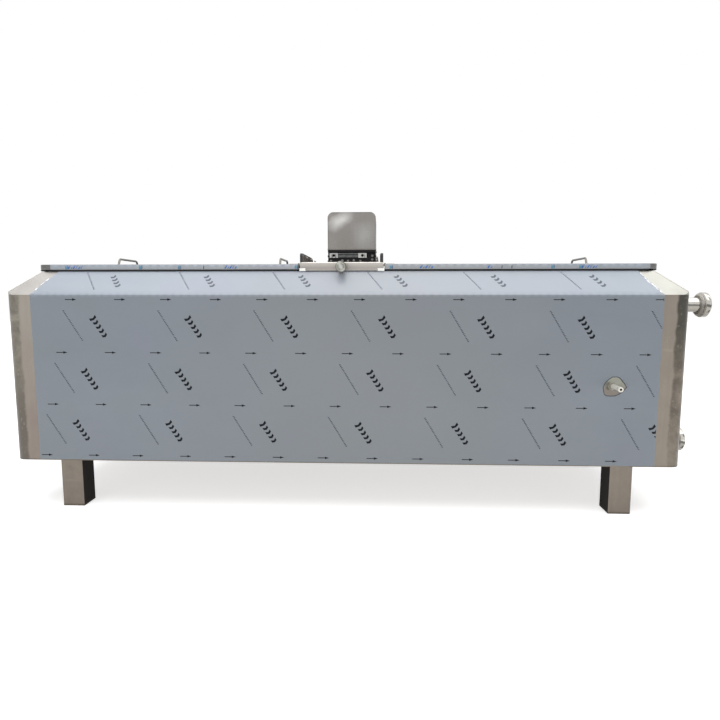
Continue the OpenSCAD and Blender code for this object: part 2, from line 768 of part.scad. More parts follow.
module gearbox_housing() placed() color([0.13, 0.13, 0.15])
    difference() {
        union() {
            translate([hood_x, 0, bridge_top]) {
                block([-hood_w / 2, -gear_box_y, 0], [hood_w / 2, gear_box_y, gearbox_h - cover_t]);
                block([-hood_w / 2 - flange_out, -gear_box_y, 0],
                    [hood_w / 2 + flange_out, gear_box_y, flange_t]);
                for (i = [0:2])
                    block([lug_x[0], -gear_box_y - rib_out, lug_z + rib_t + i * rib_step],
                        [lug_x[1], -gear_box_y, lug_z + 2 * rib_t + i * rib_step]);
                for (x = lug_x) lug(x);
                for (i = [-1.5:1.5]) translate([i * foot_rib_step, 0, 0])
                    block([-foot_rib_w / 2, -gear_box_y - rib_out, 0],
                        [foot_rib_w / 2, -gear_box_y, foot_rib_h]);
            }
        }
        block([cavity_x0, -cavity_y, cavity_z], [cavity_x1, cavity_y, drive_z]);
        translate([0, 0, bridge_top - cut])
            cylinder(r = shaft_d / 2 + run_gap, h = cavity_z - bridge_top + 2 * cut);
        translate([0, 0, bridge_top - cut]) cylinder(r = seal_r, h = cut + bore_deep);
        translate([centre_gap, 0, counter_z])
            cylinder(r = counter_r + run_gap, h = cavity_z - counter_z + cut);
        for (x = [-bolt_x, bolt_x], y = [-bolt_y, bolt_y])
            translate([hood_x + x, y, bridge_top - cut])
                cylinder(r = bolt_r + fit_gap, h = flange_t + 2 * cut);
        for (x = lug_x) translate([hood_x + x, 0, bridge_top + lug_z + lug_h / 2])
            bar_y(lug_bore_r, -gear_box_y - lug_out - cut, -gear_box_y + bore_deep);
    }
module lug(x)
    block([x - lug_w / 2, -gear_box_y - lug_out, lug_z], [x + lug_w / 2, -gear_box_y, lug_z + lug_h]);

module frame_block(d, z0, z1)
    block([-hood_w / 2 + d, -hood_d / 2 + d, z0], [hood_w / 2 - d, hood_d / 2 - d, z1]);
module gearbox_cover() placed() color([0.16, 0.16, 0.18])
    difference() {
        translate([hood_x, 0, drive_z - cover_t]) {
            block([-hood_w / 2, -hood_d / 2, 0], [hood_w / 2, hood_d / 2, cover_t]);
            difference() {
                frame_block(lip_in, 0, cover_t + lip_h);
                frame_block(lip_in + lip_t, cover_t, cover_t + lip_h + cut);
            }
        }
        translate([0, 0, drive_z - 2 * cover_t]) cylinder(r = motor_shaft_r + run_gap, h = 3 * cover_t);
        translate([centre_gap, 0, drive_z - cover_t - cut])
            cylinder(r = counter_r + run_gap, h = cut + counter_top + fit_gap);
        for (x = [-1, 1], y = hood_screw_y) translate([hood_x, y, screw_z]) at_end(x)
            bar_x(screw_r, hood_w / 2 - lip_in - lip_t - cut, hood_w / 2);
    }

module output_wheel() placed() color("goldenrod")
    translate([0, 0, stage_low_z]) difference() {
        gear(wheel_teeth, low_face);
        translate([0, 0, -cut]) cylinder(r = shaft_d / 2, h = low_face + 2 * cut);
    }
module countershaft() placed() color("steelblue") translate([centre_gap, 0, 0]) {
    shaft_z = counter_z + fit_gap;
    translate([0, 0, shaft_z]) cylinder(r = counter_r, h = drive_z - cover_t + counter_top - shaft_z);
    translate([0, 0, stage_low_z])
        gear(pinion_teeth, low_face, pinion_teeth % 2 == 0 ? 180 / pinion_teeth : 0);
    translate([0, 0, stage_high_z]) gear(wheel_teeth, high_face);
}
module motor_rotor() placed() color("slategray") {
    translate([0, 0, stage_high_z - 1])
        gear(pinion_teeth, high_face + 2, wheel_teeth % 2 == 0 ? 180 / pinion_teeth : 0);
    translate([0, 0, stage_high_z + high_face])
        cylinder(r = motor_shaft_r, h = drive_z + motor_h - 10 - stage_high_z - high_face);
    translate([0, 0, rotor_z]) cylinder(r = rotor_r, h = rotor_h);
}
module motor_housing() placed() color([0.2, 0.22, 0.25]) translate([0, 0, drive_z])
    difference() {
        union() {
            cylinder(r = motor_r - motor_wall, h = motor_h);
            for (a = [0:fin_turn:359]) rotate(a)
                block([motor_r - 2 * motor_wall, -fin_t / 2, 0],
                    [motor_r, fin_t / 2, motor_h - 2 * motor_base]);
            cylinder(r = motor_r, h = motor_base);
        }
        translate([0, 0, rotor_z - drive_z - motor_wall])
            cylinder(r = rotor_r + rotor_gap, h = rotor_h + 2 * motor_wall);
        translate([0, 0, -cut]) cylinder(r = motor_shaft_r + run_gap, h = motor_h - motor_base);
    }
module terminal_box() placed() color([0.2, 0.22, 0.25])
    difference() {
        union() {
            box_block(0);
            translate([box_x + box_l / 2, 0, box_z + box_h / 2])
                bar_y(gland_r, -box_w / 2 - gland_l, -box_w / 2);
        }
        box_block(box_wall);
        translate([box_x + box_l / 2, 0, box_z + box_h / 2])
            bar_y(gland_r - box_wall, -box_w / 2 - gland_l - cut, -box_w / 2 + box_wall + cut);
    }
module box_block(d)
    block([box_x + d, -box_w / 2 + d, box_z + d], [box_x + box_l - d, box_w / 2 - d, box_z + box_h - d]);

module hood_outline(d) {
    w = hood_w / 2 - d;
    r = hood_r - d;
    h = hood_h - d;
    translate([-w, 0]) square([2 * w, h - r]);
    translate([-w + r, 0]) square([2 * (w - r), h]);
    for (s = [-1, 1]) translate([s * (w - r), h - r]) circle(r = r);
}
module motor_hood() placed() color("silver") translate([hood_x, 0, drive_z])
    difference() {
        translate([0, hood_d / 2, 0]) rotate([90, 0, 0]) linear_extrude(hood_d) hood_outline(0);
        translate([0, hood_d / 2 - hood_t, -cut]) rotate([90, 0, 0]) linear_extrude(hood_d - 2 * hood_t)
            union() {
                hood_outline(hood_t);
                translate([-hood_w / 2 + hood_t, 0]) square([hood_w - 2 * hood_t, hood_h / 2]);
            }
        for (y = hood_screw_y) translate([0, y, lip_h / 2]) bar_x(screw_r + run_gap, -hood_w, hood_w);
    }
module drive_screws() placed() color("lightgray") {
    for (x = [-1, 1], y = hood_screw_y) translate([hood_x, y, screw_z]) at_end(x) {
        bar_x(screw_head_r, hood_w / 2, hood_w / 2 + 3);
        bar_x(screw_r, hood_w / 2 - lip_in - lip_t, hood_w / 2);
    }
    for (x = [-bolt_x, bolt_x], y = [-bolt_y, bolt_y]) translate([hood_x + x, y, bridge_top + flange_t]) {
        cylinder(r = bolt_head_r, h = bolt_head_h, $fn = 6);
        translate([0, 0, -flange_t]) cylinder(r = bolt_r, h = flange_t);
    }
}

// Agitator
module agitator_shaft() placed() color("silver")
    translate([0, 0, shaft_z0]) cylinder(r = shaft_d / 2, h = shaft_top - shaft_z0);
module agitator_paddle() placed() color("silver") translate([0, 0, paddle_z - hub_h / 2])
    difference() {
        union() {
            cylinder(r = seal_r, h = hub_h);
            for (s = [0, 180]) rotate(s) translate([0, 0, hub_h / 2]) {
                bar_x(arm_r, shaft_d / 2 + run_gap + blade_t, paddle_r * 0.55);
                translate([paddle_r * 0.45, 0, 0]) rotate([blade_tilt, 0, 0])
                    block([0, -blade_t / 2, -paddle_h / 2], [paddle_r * 0.55, blade_t / 2, paddle_h / 2]);
            }
        }
        translate([0, 0, -cut]) cylinder(r = shaft_d / 2, h = paddle_h);
    }
module shaft_seal() placed() color([0.12, 0.12, 0.12])
    translate([0, 0, bridge_top - seal_h]) difference() {
        union() {
            cylinder(r = seal_r, h = seal_h);
            cylinder(r = seal_r + seal_lip, h = seal_h - bridge_t);
        }
        translate([0, 0, -cut]) cylinder(r = shaft_d / 2 + run_gap, h = seal_h + 2 * cut);
    }

// Rinse pipe through the bridge front, with an elbow down to a spray ball
module rinse_run(r) {
    bar_y(r, -bridge_y - rinse_out, -bridge_y + rinse_in);
    translate([0, -bridge_y + rinse_in, -rinse_bend]) rotate([0, 90, 0]) rotate([0, 0, 90])
        rotate_extrude(angle = 90) translate([rinse_bend, 0]) circle(r = r);
    translate([0, ball_y, -rinse_bend - ball_drop]) cylinder(r = r, h = ball_drop);
}
module rinse_pipe() placed() color("silver") translate([0, 0, rinse_z])
    difference() {
        union() {
            rinse_run(rinse_d / 2);
            translate([0, ball_y, ball_z]) sphere(r = ball_r);
        }
        rinse_run(rinse_d / 2 - rinse_wall);
        translate([0, ball_y, ball_z]) sphere(r = ball_r - ball_wall);
        bar_y(rinse_d / 2 - rinse_wall, -bridge_y - rinse_out - cut, -bridge_y);
    }
module rinse_cap() placed() color("silver") translate([0, 0, rinse_z])
    difference() {
        union() {
            bar_y(rinse_cap_d / 2, -bridge_y - rinse_out - cap_l / 3, -bridge_y - rinse_out + 2 * cap_l / 3);
            bar_y(cap_knob_r, -bridge_y - rinse_out - cap_l / 3 - cap_knob_l, -bridge_y - rinse_out);
        }
        bar_y(rinse_d / 2 + run_gap, -bridge_y - rinse_out - fit_gap, -bridge_y);
    }

// Dairy union: a pipe with a collar, held by a loose round nut with hook notches
module union_pipe(x0, x_end) rotate([0, 90, 0]) rotate_extrude() polygon([
    [pipe_r, x0], [pipe_r, x_end - 2], [male_r, x_end - 2], [male_r, x_end - nut_l + nut_seat],
    [pipe_d / 2, x_end - nut_l + nut_seat], [pipe_d / 2, x_end - nut_l - ring_l],
    [collar_r, x_end - nut_l - ring_l], [collar_r - collar_slant, x_end - nut_l - ring_l - collar_l],
    [pipe_d / 2, x_end - nut_l - ring_l - collar_l], [pipe_d / 2, x0]]);
module union_nut(x_end) difference() {
    x0 = x_end - nut_l;
    r = nut_d / 2;
    rotate([0, 90, 0]) rotate_extrude() polygon([
        [pipe_d / 2 + nut_gap, x0 + 0.5], [r - nut_chamfer, x0], [r, x0 + nut_chamfer],
        [r, x_end - nut_chamfer], [r - nut_chamfer, x_end],
        [male_r + nut_gap, x_end], [male_r + nut_gap, x0 + nut_seat - fit_gap],
        [pipe_d / 2 + nut_gap, x0 + nut_seat - fit_gap]]);
    for (a = [0:60:300]) rotate([a, 0, 0])
        block([x0 + 2 * nut_chamfer, -notch_w / 2, r - notch_deep],
            [x_end - 1.5 * nut_chamfer, notch_w / 2, r + cut]);
}
module milk_inlet_pipe() placed() color("silver")
    translate([0, -inlet_y, inlet_z]) union_pipe(liner_x + liner_t, inlet_end);
module milk_inlet_nut() placed() color("silver")
    translate([0, -inlet_y, inlet_z]) union_nut(inlet_end);

// Lower pipe, which turns up inside the body to the jacket's floor
module water_run(r) {
    translate([0, -water_y, water_z]) {
        bar_x(r, water_rise_x + water_bend, body_l / 2);
        translate([water_rise_x + water_bend, 0, water_bend]) rotate([90, 0, 0]) rotate([0, 0, 180])
            rotate_extrude(angle = 90) translate([water_bend, 0]) circle(r = r);
        translate([water_rise_x, 0, water_bend])
            cylinder(r = r, h = jacket_floor_z - water_z - water_bend + jacket_gap);
    }
}
module water_inlet_pipe() placed() color("silver")
    difference() {
        union() {
            water_run(pipe_d / 2);
            translate([0, -water_y, water_z]) union_pipe(body_l / 2, water_end);
        }
        water_run(pipe_r);
        jacket_fill();
    }
module water_inlet_nut() placed() color("silver")
    translate([0, -water_y, water_z]) union_nut(water_end);

// Milk outlet: pipe from the sump to a butterfly valve with a lever on top
module outlet_valve() placed() color("silver") translate([0, 0, outlet_z])
    difference() {
        union() {
            bar_x(pipe_d / 2, liner_x + liner_t, valve_end);
            bar_x(valve_r, valve_x, valve_x + valve_l);
            bar_x(pipe_d / 2 + valve_flange_t, valve_end - valve_flange_t, valve_end);
            translate([valve_x + valve_l / 2, 0, 0]) cylinder(r = 2 * stem_r, h = lever_z - lever_t);
        }
        bar_x(pipe_r, liner_x, valve_end + cut);
        translate([valve_x + valve_l / 2, 0, 0]) cylinder(r = stem_r + run_gap, h = lever_z + cut);
    }
module valve_lever() placed() color("gray") translate([valve_x + valve_l / 2, 0, outlet_z]) {
    intersection() {
        bar_x(pipe_r - fit_gap, -disc_t / 2, disc_t / 2);
        block([-valve_l, -nut_d, -nut_d], [valve_l, nut_d, nut_d]);
    }
    cylinder(r = stem_r, h = lever_z + lever_t);
    translate([0, 0, lever_z - lever_t + fit_gap]) {
        cylinder(r = lever_hub_r, h = lever_hub_h);
        block([-lever_w / 2, 0, 0], [lever_w / 2, lever_l, lever_t]);
        translate([0, lever_l, 0]) cylinder(r = lever_w / 2, h = lever_t);
    }
}

// Closed tube for a thermometer, from outside the front sheet through the liner wall
module thermometer_pocket() placed() color("silver") translate([pocket_x, 0, pocket_z])
    difference() {
        union() {
            bar_y(pocket_d / 2, -body_w / 2 - pocket_out, -liner_y + pocket_in);
            bar_y(pocket_d / 2 + 3, -body_w / 2 - pocket_base_l, -body_w / 2);
            bar_y(pocket_d / 2 + 1.5, -body_w / 2 - pocket_base_l - pocket_ring_l, -body_w / 2 - pocket_base_l);
        }
        bar_y(pocket_bore / 2, -body_w / 2 - pocket_out - cut, -liner_y + pocket_in - pocket_tip);
    }

leg_front_left();
leg_front_right();
leg_rear_left();
leg_rear_right();
base_frame();
floor_pan();
front_panel();
rear_panel();
front_shoulder();
rear_shoulder();
left_end_cap();
right_end_cap();
insulation();
water_jacket();
liner_front_floor();
liner_rear_floor();
liner_front_wall();
liner_rear_wall();
liner_front_shoulder();
liner_rear_shoulder();
liner_left_end();
liner_right_end();
protective_film();
left_lid();
right_lid();
left_gasket();
right_gasket();
left_outer_handle();
left_inner_handle();
right_outer_handle();
left_lid_hinges();
right_lid_hinges();
bridge_hinges();
hinge_pins();
agitator_bridge();
bridge_pads();
bumper_brackets();
lid_bumpers();
gearbox_housing();
gearbox_cover();
output_wheel();
countershaft();
motor_rotor();
motor_housing();
terminal_box();
motor_hood();
drive_screws();
agitator_shaft();
agitator_paddle();
shaft_seal();
rinse_pipe();
rinse_cap();
milk_inlet_pipe();
milk_inlet_nut();
water_inlet_pipe();
water_inlet_nut();
outlet_valve();
valve_lever();
thermometer_pocket();
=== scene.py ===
"""Milk pasteurizing vat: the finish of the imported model, in metres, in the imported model's own frame."""
import json
import random
from functools import partialmethod
from math import atan2, cos, hypot, pi, radians, sin, sqrt, tan

import bmesh
import bpy
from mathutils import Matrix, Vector, noise
from mathutils.geometry import delaunay_2d_cdt

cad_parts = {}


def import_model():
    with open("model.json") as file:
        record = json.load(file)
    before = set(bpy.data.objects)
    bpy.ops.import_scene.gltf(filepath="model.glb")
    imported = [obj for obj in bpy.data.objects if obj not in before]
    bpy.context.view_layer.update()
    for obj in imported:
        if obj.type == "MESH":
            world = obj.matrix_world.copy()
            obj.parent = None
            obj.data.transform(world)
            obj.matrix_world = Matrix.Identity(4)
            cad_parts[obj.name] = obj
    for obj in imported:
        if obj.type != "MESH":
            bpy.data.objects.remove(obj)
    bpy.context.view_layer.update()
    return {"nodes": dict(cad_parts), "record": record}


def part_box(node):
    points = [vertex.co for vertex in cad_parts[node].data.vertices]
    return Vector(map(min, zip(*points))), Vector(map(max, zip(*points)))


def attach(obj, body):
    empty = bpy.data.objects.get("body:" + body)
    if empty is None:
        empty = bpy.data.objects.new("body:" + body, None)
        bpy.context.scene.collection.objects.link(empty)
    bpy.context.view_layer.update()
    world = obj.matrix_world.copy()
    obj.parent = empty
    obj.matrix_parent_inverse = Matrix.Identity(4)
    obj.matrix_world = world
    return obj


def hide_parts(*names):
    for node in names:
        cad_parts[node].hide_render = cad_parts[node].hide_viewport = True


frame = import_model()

MM = 0.001
ROOT = "vat"
SIDES = ((-1, "left_lid"), (1, "right_lid"))
WAY_X, WAY_Y, WAY_Z = (1, 0, 0), (0, 1, 0), (0, 0, 1)


# Places taken from the frame
def middle(node):
    low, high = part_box(node)
    return (low + high) / 2


PANEL_LOW, PANEL_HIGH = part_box("front_panel")
LID_LOW, LID_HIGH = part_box("right_lid")
BRIDGE_LOW, BRIDGE_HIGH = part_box("agitator_bridge")
HOOD_LOW, HOOD_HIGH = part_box("motor_hood")
GEARBOX_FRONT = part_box("gearbox_housing")[0].y
TANK_X = middle("front_panel").x
TANK_Y = (PANEL_LOW.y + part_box("rear_panel")[1].y) / 2
HALF_W = TANK_Y - PANEL_LOW.y
END_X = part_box("right_end_cap")[1].x
HALF_L = END_X - TANK_X
BODY_Z = PANEL_LOW.z
CREASE_Z = PANEL_HIGH.z
SEAT_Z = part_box("front_shoulder")[1].z
LID_TOP = LID_HIGH.z
LID_END = LID_HIGH.x - TANK_X
BRIDGE_TOP = BRIDGE_HIGH.z
POCKET = middle("thermometer_pocket")
POCKET_BORE = 0.0035
RINSE = middle("rinse_cap")
PIPE_Z = {"milk_inlet_pipe": middle("milk_inlet_nut").z, "water_inlet_pipe": middle("water_inlet_nut").z,
          "outlet_valve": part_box("outlet_valve")[0].z + 0.044}
# How far the front and the ends lean in between crease and seat
FRONT_LEAN = 0.085
END_LEAN = 0.098
TURN = pi / 2 - atan2(SEAT_Z - CREASE_Z, FRONT_LEAN)
SLOPE_L = hypot(SEAT_Z - CREASE_Z, FRONT_LEAN)


def vat(x, y, z):
    """A point given from the vat's middle and the floor, in metres."""
    return Vector((TANK_X + x, TANK_Y + y, z))


# Camera and lamps
def add_object(name, data, place=(0, 0, 0), turn=(0, 0, 0)):
    obj = bpy.data.objects.new(name, data)
    obj.location = place
    obj.rotation_euler = turn
    bpy.context.collection.objects.link(obj)
    return obj


def camera():
    """The photograph's view: focal length 560 pixels in a frame of 720, from a little right of the middle."""
    data = bpy.data.cameras.new("view")
    data.sensor_width = 36.0
    data.lens = 560 / 720 * 36.0
    data.clip_start = 0.05
    data.clip_end = 60
    bpy.context.scene.camera = add_object("view", data, vat(0.1501, -2.5525, 0.782),
                                          (pi / 2 - 0.1154, 0.0, 0.0410))


def area_light(name, place, target, size, power):
    data = bpy.data.lights.new(name, "AREA")
    data.shape = "RECTANGLE"
    data.size, data.size_y = size
    data.energy = power
    add_object(name, data, place, (target - place).to_track_quat("-Z", "Y").to_euler())


# Material building
class Value:
    """A number or colour in a shader; arithmetic with it adds the nodes."""

    def __init__(self, shader, socket):
        self.shader = shader
        self.socket = socket

    def do(self, operation, other=None):
        return self.shader.maths(operation, self, other)

    def __rsub__(self, other):
        return self.shader.maths("SUBTRACT", other, self)

    __add__ = partialmethod(do, "ADD")
    __sub__ = partialmethod(do, "SUBTRACT")
    __mul__ = partialmethod(do, "MULTIPLY")
    __abs__ = partialmethod(do, "ABSOLUTE")
    most = partialmethod(do, "MAXIMUM")

    def fade(self, low, high, to_low=0.0, to_high=1.0):
        """This number on its way from low to high, as one on the way from to_low to to_high."""
        return self.shader.node("ShaderNodeMapRange", "Result", {
            "Value": self, "From Min": low, "From Max": high, "To Min": to_low, "To Max": to_high})

    def to(self, factor, colour):
        """This colour, turned to another by a factor."""
        return self.shader.mix(factor, self, colour)

    def tint(self, colour):
        """This colour multiplied by another."""
        return self.shader.mix(1.0, self, colour, "MULTIPLY")


class Shader:
    """A node tree with short calls for the nodes that this scene repeats."""

    def __init__(self, owner, output):
        owner.use_nodes = True
        self.owner = owner
        self.tree = owner.node_tree
        self.tree.nodes.clear()
        self.surface = self.tree.nodes.new(output).inputs["Surface"]

    def link(self, value, socket):
        if isinstance(value, Value):
            self.tree.links.new(value.socket, socket)
        elif value is not None:
            socket.default_value = value

    def node(self, kind, output, inputs, **settings):
        """One output of a new node, whose inputs are given by name or number."""
        made = self.tree.nodes.new(kind)
        for key, value in settings.items():
            setattr(made, key, value)
        for key, value in inputs.items():
            self.link(value, made.inputs[key])
        return Value(self, made.outputs[output])

    def maths(self, operation, a, b=None):
        return self.node("ShaderNodeMath", 0, {0: a, 1: b}, operation=operation)

    def mix(self, factor, a, b, blend="MIX"):
        """Two colours mixed, each a Value, a linear colour with alpha or an sRGB one of three numbers."""
        a, b = (rgb(c) if isinstance(c, tuple) and len(c) == 3 else c for c in (a, b))
        return self.node("ShaderNodeMix", "Result", {"Factor": factor, "A": a, "B": b},
                         data_type="RGBA", blend_type=blend)

    def parts(self, kind):
        """The X, Y and Z of the place on the object, or of the way that the surface faces."""
        vector = self.node("ShaderNodeTexCoord", kind, {})
        split = self.node("ShaderNodeSeparateXYZ", 0, {"Vector": vector}).socket.node
        return [Value(self, output) for output in split.outputs]

    axes = partialmethod(parts, "Object")
    facing = partialmethod(parts, "Normal")

    def noise(self, scale, detail=3.0, rough=0.55, distortion=0.0, turn=(0, 0, 0)):
        """Noise with a scale for all axes or one for each."""
        scale = scale if isinstance(scale, tuple) else (scale,) * 3
        place = self.node("ShaderNodeMapping", "Vector", {
            "Scale": scale, "Rotation": turn, "Vector": self.node("ShaderNodeTexCoord", "Object", {})})
        return self.node("ShaderNodeTexNoise", "Fac", {
            "Vector": place, "Scale": 1.0, "Detail": detail, "Roughness": rough, "Distortion": distortion})

    def bump(self, height, strength, distance, normal=None):
        return self.node("ShaderNodeBump", "Normal", {
            "Height": height, "Strength": strength, "Distance": distance, "Normal": normal})

    def finish(self, **sockets):
        named = {key.replace("_", " "): value for key, value in sockets.items()}
        self.link(self.node("ShaderNodeBsdfPrincipled", 0, named), self.surface)
        return self.owner


MATERIALS = {}


def surface(name):
    MATERIALS[name] = bpy.data.materials.new(name)
    return Shader(MATERIALS[name], "ShaderNodeOutputMaterial")


def reach(a, b):
    """The distance of a point from its sides a and b."""
    return (a * a + b * b).do("SQRT")


def rgb(colour, factor=1.0):
    """An sRGB colour, 0 to 255, as the linear colour that a shader takes, times a factor."""
    def one(v):
        v /= 255
        return v / 12.92 if v <= 0.04045 else ((v + 0.055) / 1.055) ** 2.4
    return (*(one(v) * factor for v in colour), 1.0)


def brushed(name, colour, rough=0.32, grain=(2, 90, 90), strength=0.25, blotch=0.10, extra=None, wave=0.12,
            dull=None, gloss=0.5):
    """Ground stainless steel: fine grain along one axis, cloudy handling marks and sparse scratches."""
    s = surface(name)
    fine = s.noise(tuple(v * 14 for v in grain), 4, 0.7)
    streak = s.noise(grain, 3, 0.6)
    cloud = s.noise(3.1, 5, 0.6, 0.4)
    smear = s.noise(11, 3, 0.5)
    mark = s.noise((6, 240, 55), 1, 0.4, turn=(0.4, 0.2, 0.5)).fade(0.74, 0.80)
    tone = s.mix(cloud.fade(0.3, 0.7), rgb(colour, 1 - blotch), rgb(colour, 1 + blotch))
    tone = tone.to(streak.fade(0.35, 0.65, 0.0, 0.5), rgb(colour, 0.88))
    tone = tone.to(mark * 0.35, rgb(colour, 1.25))
    metal = 1.0
    roughness = fine.fade(0.3, 0.7, rough - 0.05, rough + 0.06) + smear.fade(0.35, 0.75, -0.04, 0.10)
    if extra:
        tone = extra(s, tone)
    if dull:
        metal = 1.0 - dull(s)
        roughness = roughness.most(dull(s) * 0.95)
    normal = s.bump(cloud, wave, 0.004, s.bump(fine * 0.7 + mark * -0.6, strength, 0.0004))
    return s.finish(Base_Color=tone, Metallic=metal, Roughness=roughness, Normal=normal, Anisotropic=0.4,
                    Specular_IOR_Level=gloss)


def satin(name, colour, rough=0.5, scale=400.0, bump=0.15, variation=0.12, metal=0.0, extra=None, dusty=0.25,
          gloss=0.5):
    """Moulded, cast or painted surfaces: a fine pebble, slow colour drift and a little dust."""
    s = surface(name)
    pebble = s.noise(scale, 3, 0.6)
    drift = s.noise(14, 4, 0.6)
    dust = s.noise(60, 2, 0.5)
    tone = s.mix(drift.fade(0.3, 0.7), rgb(colour, 1 - variation), rgb(colour, 1 + variation))
    tone = tone.to(dust.fade(0.58, 0.75, 0.0, dusty), rgb(colour, 1.6))
    if extra:
        tone, metal = extra(s, tone)
    roughness = drift.fade(0.3, 0.7, rough - 0.06, rough + 0.08)
    return s.finish(Base_Color=tone, Metallic=metal, Roughness=roughness, Normal=s.bump(pebble, bump, 0.0006),
                    Specular_IOR_Level=gloss)


# Where the steels change tone
def heat_tint_and_reflection(tone, away, factor):
    """Straw heat colour round a pipe's weld, and a dark blue-grey ring in it that is partly blue heat tint
    and partly a painted reflection of the union.
    """
    straw = away.fade(0.0465, 0.0305) * factor
    blue = away.fade(0.0355, 0.0305) * factor
    return tone.to(straw * 0.55, (136, 116, 84)).to(blue * 0.6, (78, 82, 92))


def sheet_zones(s, tone):
    """Painted shade makes the rounded corner bands dark and blotchy, and the upright sheets darker than the
    pale leaning ones, most towards the bottom and along the bottom edge; welds leave a tint, with a painted
    dark reflection round the pipes.
    """
    x, y, z = s.axes()
    wobble = (s.noise((5, 5, 11), 3, 0.5) - 0.5) * 0.026
    # Painted shade: a dark blotchy band on the rounded corners.
    band = (abs(x - TANK_X) + wobble).fade(HALF_L - 0.056, HALF_L - 0.048) \
        * (abs(y - TANK_Y) + wobble).fade(HALF_W - 0.054, HALF_W - 0.040)
    low = z.fade(CREASE_Z - 0.05, BODY_Z + 0.15)
    high = z.fade(CREASE_Z - 0.26, CREASE_Z - 0.10)
    right = x.fade(TANK_X, TANK_X + 0.1)
    below = z.fade(CREASE_Z + 0.0015, CREASE_Z - 0.0005)
    cloud = s.noise((16, 16, 22), 4, 0.6, 0.6)
    blotch = cloud.fade(0.35, 0.65)
    # Painted shade in the corner bands: darker low on the left, darker on the right and darkest high on the
    # right.
    dark = s.mix(blotch, (109, 105, 97), (138, 133, 122))
    dark = dark.to(low * (1.0 - right), (91, 86, 80))
    dark = dark.to(right, s.mix(blotch, (90, 84, 77), (112, 105, 95)))
    dark = dark.to(high * right * 0.85, (69, 69, 64))
    # Painted shade: the upright sheets are tinted darker than the leaning ones, most towards the bottom, less
    # so on the right.
    lower = s.mix(right, (0.51, 0.48, 0.48, 1), (0.66, 0.66, 0.66, 1))
    tone = tone.tint(s.mix(low, (0.79, 0.79, 0.80, 1), lower))
    tone = tone.to(right * 0.55, tone.tint((205, 196, 190)))
    speck = s.noise((130, 130, 90), 3, 0.6)
    dark = dark.to(speck.fade(0.60, 0.72, 0.0, 0.35), (150, 147, 139))
    tone = tone.to(band * below, dark)
    # A painted shade line along the bottom edge, where the sheet turns under.
    tone = tone.to(z.fade(BODY_Z + 0.007, BODY_Z + 0.003) * 0.6, (84, 80, 74))
    cream = s.mix(right, (163, 160, 157), (156, 156, 150))
    cream = cream.to(cloud.fade(0.3, 0.7, 0.0, 0.25), (146, 143, 138))
    tone = tone.to(1.0 - below, cream)
    # Heat tint round each pipe on the right end, with a painted dark reflection of its union.
    for node, height in PIPE_Z.items():
        tone = heat_tint_and_reflection(tone, reach(y - middle(node).y, z - height), right * below)
    # The bare patch round the thermometer pocket, paler towards its top as a painted sheen
    patch = abs(x - POCKET.x).fade(0.075, 0.065) * y.fade(PANEL_LOW.y + 0.01, PANEL_LOW.y + 0.002)
    olive = s.mix(z.fade(POCKET.z - 0.014, POCKET.z + 0.010), (112, 105, 100), (132, 133, 125))
    olive = olive.to(cloud.fade(0.35, 0.65, 0.0, 0.5), (112, 111, 102))
    # Painted shadow of the tube, below and to the left of it.
    away = reach((x - (POCKET.x - 0.009)) * 0.75, (z - (POCKET.z - 0.007)) * 1.4)
    olive = olive.to(away.fade(0.012, 0.004, 0.0, 0.8), (70, 70, 58))
    return tone.to(patch, olive)


def inner_face_shade(s):
    """The leg faces turned to the middle of the vat, which take painted shade."""
    side = (s.axes()[0] - TANK_X).do("SIGN")
    return (s.facing()[0] * side * -1.0).fade(0.55, 0.85)


def leg_zones(s, tone):
    """Dull brown mill surface; the faces turned to the middle of the vat are painted nearly black as shade,
    and the last centimetre above the floor is darker.
    """
    cloud = s.noise(22, 4, 0.6)
    tone = tone.to(cloud.fade(0.35, 0.68, 0.0, 0.35), (134, 123, 114))
    # Painted shade on the inner faces.
    tone = tone.to(inner_face_shade(s) * 0.97, (14, 12, 11))
    return tone.to(s.axes()[2].fade(0.010, 0.003) * 0.7, (66, 61, 54))


# The hood's painted highlight, the first row, and its lighter and darker patches: place from its lower left
# corner, turn, length, width, colour and strength
HOOD_HIGHLIGHT_AND_PATCHES = ((0.054, 0.124, 0.66, 0.054, 0.033, (190, 189, 186), 0.9),
                (0.156, 0.062, 1.45, 0.060, 0.045, (152, 151, 147), 0.8),
                (0.150, 0.138, 0.2, 0.060, 0.020, (126, 124, 119), 0.5),
                (0.064, 0.048, 1.2, 0.060, 0.040, (122, 119, 114), 0.4))


def hood_zones(s, tone):
    """A painted highlight at the upper left, cloudy lighter and brown patches in the brushed hood, and
    painted shade on the folds at its sides and top.
    """
    x, _, z = s.axes()
    lo, hi = HOOD_LOW, HOOD_HIGH
    # Painted shade where the sheet folds round at the sides and top.
    fold = x.fade(lo.x + 0.0050, lo.x + 0.0015).most(x.fade(hi.x - 0.0050, hi.x - 0.0015))
    fold = fold.most(z.fade(hi.z - 0.0060, hi.z - 0.0025))
    tone = tone.to(fold * 0.45, (88, 86, 82))
    wave = (s.noise(9) - 0.5) * 0.05
    # The first patch is a painted highlight.
    for cx, cz, turn, long, wide, colour, amount in HOOD_HIGHLIGHT_AND_PATCHES:
        a = x - (lo.x + cx) + wave
        b = z - (lo.z + cz) - wave
        c, d = cos(turn), sin(turn)
        away = reach((a * c + b * d) * (1 / long), (b * c - a * d) * (1 / wide))
        tone = tone.to(away.fade(1.25, 0.25, 0.0, amount), colour)
    return tone


